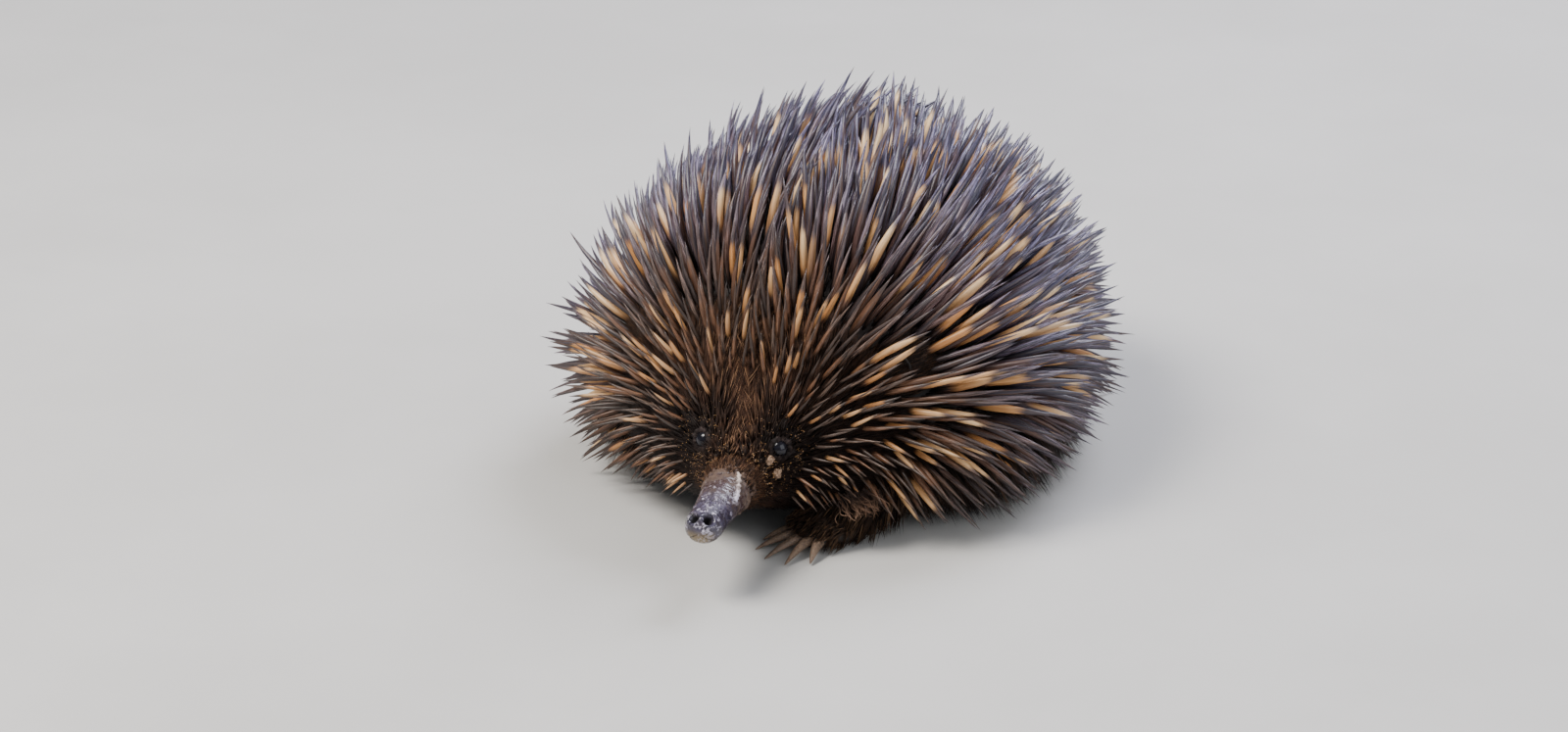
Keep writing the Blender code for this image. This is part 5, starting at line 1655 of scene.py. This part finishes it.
FIBRES, MUD, MOTTLE = fibres_group(), mud_group(), mottle_group()
print("node groups:", [group.name for group in (FIBRES, MUD, MOTTLE)])

# %% [markdown]
# ## Colour of the spines
# Most spines are dark: slate grey with a blue cast over the back, and browner and duller towards the
# face. The blue cast grows stronger higher up: partly the spines' own slate colour and partly a
# painted sky sheen. Their bands are darker near the face, with painted shade. Pale streaks run along
# them and partly stand for painted highlights, and many have a rusty cast. Their roots are painted
# nearly black: their own dark base with painted shade in the gaps between them. About one in four on
# the back and one in seven near the face carry a band, ochre at its lower end and cream above, that
# stops sharply below a dark needle tip. Chance numbers kept with each spine decide which it is, how
# pale its band is and where it starts, so one material does for all of them. Painting three kinds
# of spine as three materials would be simpler, but would show as three sorts.

# %% Spine material
# Where the face's browns turn into the back's cool greys, in metres along the body, and the heights
# above the ground over which a painted sky sheen makes the higher spines bluer.
REAR_PLACES, COOL_PLACES, SKY_SHEEN_LEVELS = (-0.105, -0.045), (-0.095, 0.010), (0.015, 0.085)
SHAFT_WARM, SHAFT_COOL = (0.022, 0.011, 0.007, 1), (0.026, 0.023, 0.056, 1)
# The root colour is nearly black: the spine's own dark base and painted shade in the gaps between spines.
SHAFT_BLOTCH, SPINE_ROOT_SHADE = (0.085, 0.042, 0.022, 1), (0.005, 0.003, 0.002, 1)
# Pale fibre streaks, brown near the face and lilac on the back, which also stand for painted highlights.
STREAK_HIGHLIGHT_WARM, STREAK_HIGHLIGHT_COOL = (0.310, 0.190, 0.130, 1), (0.440, 0.390, 0.640, 1)
RUST_DARK, RUST_LIGHT = (0.100, 0.038, 0.014, 1), (0.285, 0.115, 0.040, 1)
OCHRE_DARK, OCHRE_LIGHT = (0.520, 0.200, 0.050, 1), (0.780, 0.400, 0.140, 1)
# Cream and worn are the band's own colours; dusky is painted shade over the bands near the face.
CREAM, DUSKY_FACE_SHADE, WORN = (0.88, 0.63, 0.35, 1), (0.34, 0.170, 0.078, 1), (0.26, 0.110, 0.040, 1)
# Shares of a spine's length over which its band begins, stops and turns from ochre to cream.
BAND_RISE, BAND_FALL, BAND_FADE = 0.14, 0.09, 0.46
# Spines whose chance number is over this have a band: near the face, and the change to the back.
PLAIN_SHARE, PLAIN_CHANGE = 0.85, -0.11


def spine_material():
    material, tree, shader = new_material("spine_horn", Roughness=0.38, Coat_Weight=0.35, Coat_Roughness=0.25)
    strand, grain = attribute(tree, "strand"), attribute(tree, "grain")
    fibres = use_group(tree, FIBRES, Fineness=1.7, Length=2.2)
    streak, blotch = fibres["Streaks"], fibres["Blotches"]
    where = parts_of(tree, object_place(tree))
    rear, far_back = ramp(tree, where[1], *REAR_PLACES), ramp(tree, where[1], *COOL_PLACES)
    # A bluish cast: the back's own slate, and a painted sky sheen that grows with height.
    back_tint_and_sky_sheen = times(tree, far_back, line(tree, ramp(tree, where[2], *SKY_SHEEN_LEVELS), 0.6, 0.4))
    # The shaft with its blotches and pale streaks, which also stand for painted highlights, lilac on the
    # back.
    shaft = blend(tree, back_tint_and_sky_sheen, SHAFT_WARM, SHAFT_COOL)
    browner = blend(tree, ramp(tree, blotch, 0.46, 0.70), shaft, SHAFT_BLOTCH)
    streak_and_highlight = blend(tree, back_tint_and_sky_sheen, STREAK_HIGHLIGHT_WARM, STREAK_HIGHLIGHT_COOL)
    fairness = ramp(tree, strand[2], 0.40, 0.92, 0.14, 1.0)
    streaks = ramp(tree, streak, 0.46, 0.64, 0.0, 0.95)
    streaked = blend(tree, times(tree, streaks, fairness), browner, streak_and_highlight)
    # Where the band starts and ends along the spine, with a wavy edge.
    start = line(tree, strand[2], 0.20, 0.12)
    end = line(tree, grain[2], 0.15, line(tree, rear, -0.06, 0.73))
    wavy = line(tree, calc(tree, "SUBTRACT", streak, 0.5), 0.30, strand[0])
    past_start = calc(tree, "SUBTRACT", wavy, start)
    rise = calc(tree, "DIVIDE", past_start, BAND_RISE, clamp=True)
    fall = calc(tree, "DIVIDE", calc(tree, "SUBTRACT", end, wavy), BAND_FALL, clamp=True)
    banded_from = line(tree, rear, PLAIN_CHANGE, PLAIN_SHARE)
    banded = times(tree, calc(tree, "SUBTRACT", strand[1], banded_from), 40.0, clamp=True)
    # Rust on half of the spines, fainter on the back.
    rust = blend(tree, ramp(tree, streak, 0.40, 0.66), RUST_DARK, RUST_LIGHT)
    rusty = times(tree, ramp(tree, strand[1], 0.50, 0.52), line(tree, rear, -0.45, 0.75))
    rusted = blend(tree, times(tree, rusty, fall), streaked, rust)
    # The band's colours: creamier where the spines are bluer, partly from the painted sky sheen, and darkened
    # near the face by painted shade.
    up_band = calc(tree, "DIVIDE", past_start, BAND_FADE, clamp=True)
    paler = line(tree, back_tint_and_sky_sheen, 0.35, line(tree, grain[2], 0.80, -0.12))
    ochre = blend(tree, ramp(tree, blotch, 0.35, 0.70), OCHRE_DARK, OCHRE_LIGHT)
    cream = blend(tree, times(tree, up_band, paler, clamp=True), ochre, CREAM)
    band_in_face_shade = blend(tree, line(tree, rear, -0.48, 0.48, clamp=True), cream, DUSKY_FACE_SHADE)
    worn = blend(tree, ramp(tree, streak, 0.56, 0.78, 0.0, 0.60), band_in_face_shade, WORN)
    colour = blend(tree, times(tree, times(tree, rise, fall), banded), rusted, worn)
    # Roots painted nearly black: the spine's dark base and painted shade among the spines.
    dark_root_and_shade = blend(tree, ramp(tree, strand[0], 0.06, 0.42, 0.94, 0.0), colour, SPINE_ROOT_SHADE)
    rough = calc(tree, "ADD", ramp(tree, streak, 0.3, 0.7, 0.27, 0.48), 0.16)
    drier = line(tree, back_tint_and_sky_sheen, -0.16, rough)
    finish_surface(tree, shader, dark_root_and_shade, drier, streak, strength=0.55, distance=0.0003)
    return material


SPINE_HORN = spine_material()
print("material", SPINE_HORN.name)

# %% [markdown]
# ## Colour of the fur
# The fur is dark brown, nearly black at the root, with warmer tips that catch the light. Each tuft
# draws its own tone, and the tips of the palest also stand for painted highlights. The dark fur
# between the spines and under the body is painted near-black: its own dark brown with painted shade.
# The fur of the legs is paler than the back's, as if dusty.

# %% Fur materials
# Colour at the root and at the tip, and that of the pale hairs, whose tips also stand for painted highlights.
FUR_COLOURS = {
    "face_fur": ((0.007, 0.003, 0.002, 1), (0.150, 0.066, 0.034, 1), (0.46, 0.25, 0.135, 1)),
    # The dark fur between the spines, on belly, ears and tail and in the fringe is painted near-black: its
    # own dark brown with painted shade.
    "shaded_dark_fur": ((0.004, 0.002, 0.001, 1), (0.042, 0.019, 0.010, 1), (0.14, 0.070, 0.036, 1)),
    "leg_fur": ((0.006, 0.003, 0.002, 1), (0.085, 0.043, 0.022, 1), (0.28, 0.165, 0.092, 1)),
    "matted_fur": ((0.018, 0.009, 0.006, 1), (0.165, 0.088, 0.052, 1), (0.34, 0.20, 0.13, 1)),
}


def fur_material(name, root_colour, tip_colour, pale_hair_highlight_colour):
    material, tree, shader = new_material(name, Roughness=0.58, Specular_IOR_Level=0.22)
    strand = attribute(tree, "strand")
    fibres = use_group(tree, FIBRES, Fineness=1.0, Length=2.0)
    tone = blend(tree, strand[1], root_colour, tip_colour)
    tipped = blend(tree, ramp(tree, strand[0], 0.15, 0.95), root_colour, tone)
    # Pale hairs towards their tips, which also stand for painted highlights.
    lights = times(tree, ramp(tree, strand[2], 0.76, 0.94), ramp(tree, strand[0], 0.3, 0.9))
    lit = blend(tree, lights, tipped, pale_hair_highlight_colour)
    shaded = blend(tree, ramp(tree, fibres["Blotches"], 0.35, 0.65, 0.5, 0.0), lit, root_colour)
    finish_surface(tree, shader, shaded, height=fibres["Streaks"], strength=0.2, distance=0.0002)
    return material


FACE_FUR, SHADED_DARK_FUR, LEG_FUR, MATTED_FUR = [fur_material(name, *tones) for name, tones in FUR_COLOURS.items()]
print("kinds of fur:", list(FUR_COLOURS))

# %% [markdown]
# ## Colour of skin, beak, eyes and claws
# The beak is dark skin with a violet cast and a thin lilac film on top, which is partly painted sheen,
# washed brown near the fur. Over it lies a broken chalky crust, pinkish near the fur and bluish white
# towards the tip. Crust and pits are read from the masks that were kept while modelling, and nostrils
# and mouth are painted dark as shade. The eyes are almost black with a sharp gloss. The claws are
# dusty brown horn, darker at the root.

# %% Skin, lid and eye materials
def skin_material():
    material, tree, shader = new_material("dark_skin", Roughness=0.70)
    look = use_group(tree, MOTTLE, Place=object_place(tree), Dark=(0.008, 0.005, 0.004, 1),
                     Light=(0.024, 0.014, 0.010, 1), Size=90.0)
    finish_surface(tree, shader, look["Skin Colour"], height=look["Pebbles"], strength=0.5)
    return material


def lid_material():
    material, tree, shader = new_material("lid_skin", Roughness=0.60, Specular_IOR_Level=0.3)
    place = object_place(tree)
    look = use_group(tree, MOTTLE, Place=place, Dark=(0.009, 0.005, 0.005, 1),
                     Light=(0.042, 0.025, 0.022, 1), Size=420.0)
    mud = use_group(tree, MUD, Place=place, Amount=0.14, Size=520.0)
    colour = blend(tree, mud["Mask"], look["Skin Colour"], mud["Mud Colour"])
    finish_surface(tree, shader, colour, height=line(tree, mud["Height"], 1.5, look["Pebbles"]), strength=0.6)
    return material


def eye_material():
    material, tree, shader = new_material("wet_eye", Roughness=0.07, IOR=1.40)
    look = use_group(tree, MOTTLE, Place=object_place(tree), Dark=(0.003, 0.003, 0.005, 1),
                     Light=(0.012, 0.011, 0.018, 1), Size=260.0)
    finish_surface(tree, shader, look["Skin Colour"])
    return material


SKIN_LOOK, LID_LOOK, EYE_LOOK = skin_material(), lid_material(), eye_material()
print("materials", SKIN_LOOK.name, LID_LOOK.name, EYE_LOOK.name)

# %% Beak material
# Places on the beak before it is turned down, in metres along and above the ground: the brown
# underside, the tan tip, the film on top with its painted sheen, the wash near the fur, and where the chalk
# turns bluish.
UNDER_LEVELS, TIP_PLACES, TIP_LEVELS = (0.0265, 0.0315), (-0.1630, -0.1655), (0.0335, 0.0300)
FILM_SHEEN_LEVELS, WASH_PLACES, CHALK_PLACES = (0.0325, 0.0395), (-0.1530, -0.1330), (-0.1300, -0.1440)
BARE_DARK, BARE_LIGHT = (0.009, 0.007, 0.013, 1), (0.050, 0.041, 0.074, 1)
UNDER_BROWN, TIP_TAN, FILM_AND_SHEEN_LILAC = (0.075, 0.045, 0.032, 1), (0.26, 0.19, 0.09, 1), (0.20, 0.175, 0.275, 1)
WASH_BROWN, EARTH, PIT_SHADE = (0.066, 0.037, 0.027, 1), (0.068, 0.040, 0.031, 1), (0.002, 0.001, 0.002, 1)
CHALK_PINK, CHALK_BLUE = (0.62, 0.50, 0.44, 1), (0.63, 0.58, 0.70, 1)
CHALK_THINNER = -0.68


def beak_material():
    material, tree, shader = new_material("beak_skin", Coat_Roughness=0.14)
    marks = attribute(tree, "marks")
    place = add_node(tree, "Attribute", {"attribute_name": "straight"}).outputs["Vector"]
    where = parts_of(tree, place)
    bare = use_group(tree, MOTTLE, Place=place, Dark=BARE_DARK, Light=BARE_LIGHT, Size=230.0)
    mud = use_group(tree, MUD, Place=place, Amount=0.52, Size=300.0)
    flecks = cloudy(tree, place, 900.0, 6.0, 0.75)
    # The bare skin, its film on top, which is partly painted sheen, and the wash near the fur.
    under = ramp(tree, where[2], *UNDER_LEVELS, 1.0, 0.0)
    browned = blend(tree, times(tree, under, 0.7), bare["Skin Colour"], UNDER_BROWN)
    at_tip = times(tree, ramp(tree, where[1], *TIP_PLACES), ramp(tree, where[2], *TIP_LEVELS))
    tipped = blend(tree, times(tree, at_tip, 0.7), browned, TIP_TAN)
    film_and_sheen = times(tree, ramp(tree, where[2], *FILM_SHEEN_LEVELS), ramp(tree, flecks, 0.42, 0.60))
    filmed_and_sheened = blend(tree, times(tree, film_and_sheen, 0.40), tipped, FILM_AND_SHEEN_LILAC)
    near_fur = ramp(tree, where[1], *WASH_PLACES)
    wash = times(tree, near_fur, ramp(tree, flecks, 0.62, 0.30, 0.75, 1.0))
    washed = blend(tree, wash, filmed_and_sheened, WASH_BROWN)
    # The chalk, which has no gaps where its mask is over 1.
    chalk = blend(tree, ramp(tree, where[1], *CHALK_PLACES), CHALK_PINK, CHALK_BLUE)
    thinned = times(tree, marks[0], line(tree, near_fur, CHALK_THINNER, 1.0))
    broken = times(tree, thinned, ramp(tree, flecks, 0.38, 0.58))
    chalk_mask = calc(tree, "MAXIMUM", broken, calc(tree, "SUBTRACT", marks[0], 1.0), clamp=True)
    crusted = blend(tree, chalk_mask, washed, chalk)
    # The mud, and painted shade in the nostrils and along the mouth's line.
    spots = times(tree, mud["Mask"], line(tree, near_fur, 0.60, 0.12))
    muddy = calc(tree, "MAXIMUM", spots, marks[2], clamp=True)
    coated = blend(tree, muddy, crusted, blend(tree, 0.80, mud["Mud Colour"], EARTH))
    pits = ramp(tree, marks[1], 0.10, 0.55)
    shaded_pits = blend(tree, pits, coated, PIT_SHADE)
    # Skin shines and crust is dull.
    dull = calc(tree, "MAXIMUM", calc(tree, "MAXIMUM", chalk_mask, muddy), pits)
    tree.links.new(ramp(tree, dull, 0.0, 1.0, 0.40, 0.0), shader.inputs["Coat Weight"])
    rough = ramp(tree, dull, 0.0, 1.0, 0.24, 0.85)
    pebbled = line(tree, bare["Pebbles"], 0.30, mud["Height"])
    relief = calc(tree, "ADD", times(tree, chalk_mask, 0.7), pebbled)
    finish_surface(tree, shader, shaded_pits, rough, relief, strength=0.55, distance=0.0003)
    return material


BEAK_LOOK = beak_material()
print("material", BEAK_LOOK.name)

# %% Claw, mud and sand materials
HORN_ROOT, HORN_TIP, HORN_STREAK = (0.036, 0.022, 0.015, 1), (0.19, 0.135, 0.088, 1), (0.12, 0.075, 0.045, 1)
CLAW_DUST, GOLDEN_SAND = (0.090, 0.056, 0.038, 1), (0.52, 0.27, 0.095, 1)


def claw_material():
    material, tree, shader = new_material("claw_horn", Coat_Weight=0.15, Coat_Roughness=0.35)
    strand = attribute(tree, "strand")
    fibres = use_group(tree, FIBRES, Fineness=2.6, Length=2.5)
    mud = use_group(tree, MUD, Place=object_place(tree), Amount=0.66, Size=760.0)
    horn = blend(tree, ramp(tree, strand[0], 0.0, 0.65), HORN_ROOT, HORN_TIP)
    streaked = blend(tree, ramp(tree, fibres["Streaks"], 0.42, 0.66, 0.6, 0.0), horn, HORN_STREAK)
    dusty = blend(tree, mud["Mask"], streaked, blend(tree, 0.5, mud["Mud Colour"], CLAW_DUST))
    rough = ramp(tree, mud["Mask"], 0.0, 1.0, 0.40, 0.80)
    relief = line(tree, mud["Height"], 0.6, fibres["Streaks"])
    finish_surface(tree, shader, dusty, rough, relief, strength=0.5, distance=0.0004)
    return material


def crumb_material(name, gold):
    """Dried mud, of which a share of grains is golden sand."""
    material, tree, shader = new_material(name, Roughness=0.90)
    place = object_place(tree)
    mud = use_group(tree, MUD, Place=place, Amount=1.0, Size=420.0)
    golden = ramp(tree, cloudy(tree, place, 700.0, 2.0), 0.46, 0.54, 0.0, gold)
    colour = blend(tree, golden, mud["Mud Colour"], GOLDEN_SAND)
    finish_surface(tree, shader, colour, height=mud["Height"], strength=0.6)
    return material


CLAW_LOOK = claw_material()
MUD_LOOK, SAND_LOOK = crumb_material("dry_mud", 0.0), crumb_material("dry_sand", 0.85)
print("materials", CLAW_LOOK.name, MUD_LOOK.name, SAND_LOOK.name)

# %% [markdown]
# ## Dress every piece
# Each piece gets its material and rides on the model's one body, and the solids it stands for are hidden.

# %% Dress, ride and replace
FLESH = ("torso", "head", "tail", "foreleg_left", "foreleg_right", "hindleg_left", "hindleg_right",
         "ear_left", "ear_right")


def dress(piece, material, slot, *nodes):
    piece.data.materials.clear()
    piece.data.materials.append(material)
    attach(piece, "root")
    if nodes:
        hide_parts(*nodes)


dress(skin, SKIN_LOOK, "back_coat", *FLESH)
dress(spines[0], SPINE_HORN, "back_coat", "head")
for piece in spines[1:]:
    dress(piece, SPINE_HORN, "back_coat", "torso")
for piece in face_furs:
    dress(piece, FACE_FUR, "face_coat", "head")
dress(fur_beak_root, FACE_FUR, "face_coat", "head")
dress(crumbs, SAND_LOOK, "face_coat")
dress(lumps, MUD_LOOK, "face_coat")
dress(tuft, MATTED_FUR, "face_coat")
dress(fur_between, SHADED_DARK_FUR, "back_coat")
dress(fur_belly, SHADED_DARK_FUR, "back_coat")
dress(fur_ears, SHADED_DARK_FUR, "ear_skin")
dress(fur_tail, SHADED_DARK_FUR, "tail_coat")
dress(tail_coat, SPINE_HORN, "tail_coat", "tail")
for piece in fringes:
    dress(piece, SHADED_DARK_FUR, "back_coat")
for piece, name in zip(leg_furs, LEGS):
    dress(piece, LEG_FUR, "leg_fur", name)
dress(beak, BEAK_LOOK, "beak_skin", "snout")
for piece, node in zip(eyes, ("eye_left", "eye_right")):
    dress(piece, EYE_LOOK, "eye_gloss", node)
for piece in lids:
    dress(piece, LID_LOOK, "face_coat", "head")
for node, piece in claws.items():
    dress(piece, CLAW_LOOK, "claw_horn", node)
print("pieces dressed")

# %% [markdown]
# ## Stage and light
# A plain pale floor and three large soft lamps: a broad one high on the left of the picture, a
# weaker one on the right, and one behind that edges the spines.

# %% Floor and lights
FLOOR_SIZE, FLOOR_DARK, FLOOR_LIGHT = 8.0, (0.52, 0.507, 0.485, 1), (0.57, 0.557, 0.535, 1)
# Place in metres, power in watts, width in metres and colour of each lamp.
LAMPS = {
    "key": ((-0.75, -0.75, 1.65), 54, 0.8, (1.0, 0.96, 0.91)),
    "fill": ((1.4, -0.6, 0.9), 14, 1.4, (0.93, 0.96, 1.0)),
    "rim": ((0.3, 1.2, 1.5), 48, 1.0, (0.86, 0.88, 1.0)),
}
LAMP_AIM = Vector((0, 0, 0.06))
SKY_COLOUR, SKY_STRENGTH = (0.80, 0.84, 0.90, 1), 0.31


def make_floor():
    bm = bmesh.new()
    bmesh.ops.create_grid(bm, x_segments=4, y_segments=4, size=FLOOR_SIZE / 2)
    floor = object_from("floor", bm)
    material, tree, shader = new_material("floor_paper", Roughness=0.85)
    look = use_group(tree, MOTTLE, Place=object_place(tree), Dark=FLOOR_DARK, Light=FLOOR_LIGHT, Size=3.0)
    finish_surface(tree, shader, look["Skin Colour"])
    floor.data.materials.append(material)


def add_lamp(name, place, power, size, colour):
    lamp = bpy.data.lights.new(name, "AREA")
    lamp.energy, lamp.size, lamp.color = power, size, colour
    made = linked(name, lamp)
    made.location = place
    made.rotation_euler = (LAMP_AIM - Vector(place)).to_track_quat("-Z", "Y").to_euler()


make_floor()
for name, settings in LAMPS.items():
    add_lamp(name, *settings)
world = bpy.data.worlds.new("studio")
bpy.context.scene.world = world
world.use_nodes = True
background = world.node_tree.nodes["Background"].inputs
background["Color"].default_value, background["Strength"].default_value = SKY_COLOUR, SKY_STRENGTH
print(len(LAMPS), "lamps over a floor of", FLOOR_SIZE, "m")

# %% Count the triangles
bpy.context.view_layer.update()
total = sum(triangle_count(obj) for obj in bpy.data.objects if obj.type == "MESH" and not obj.hide_render)
print("triangles in all:", total)
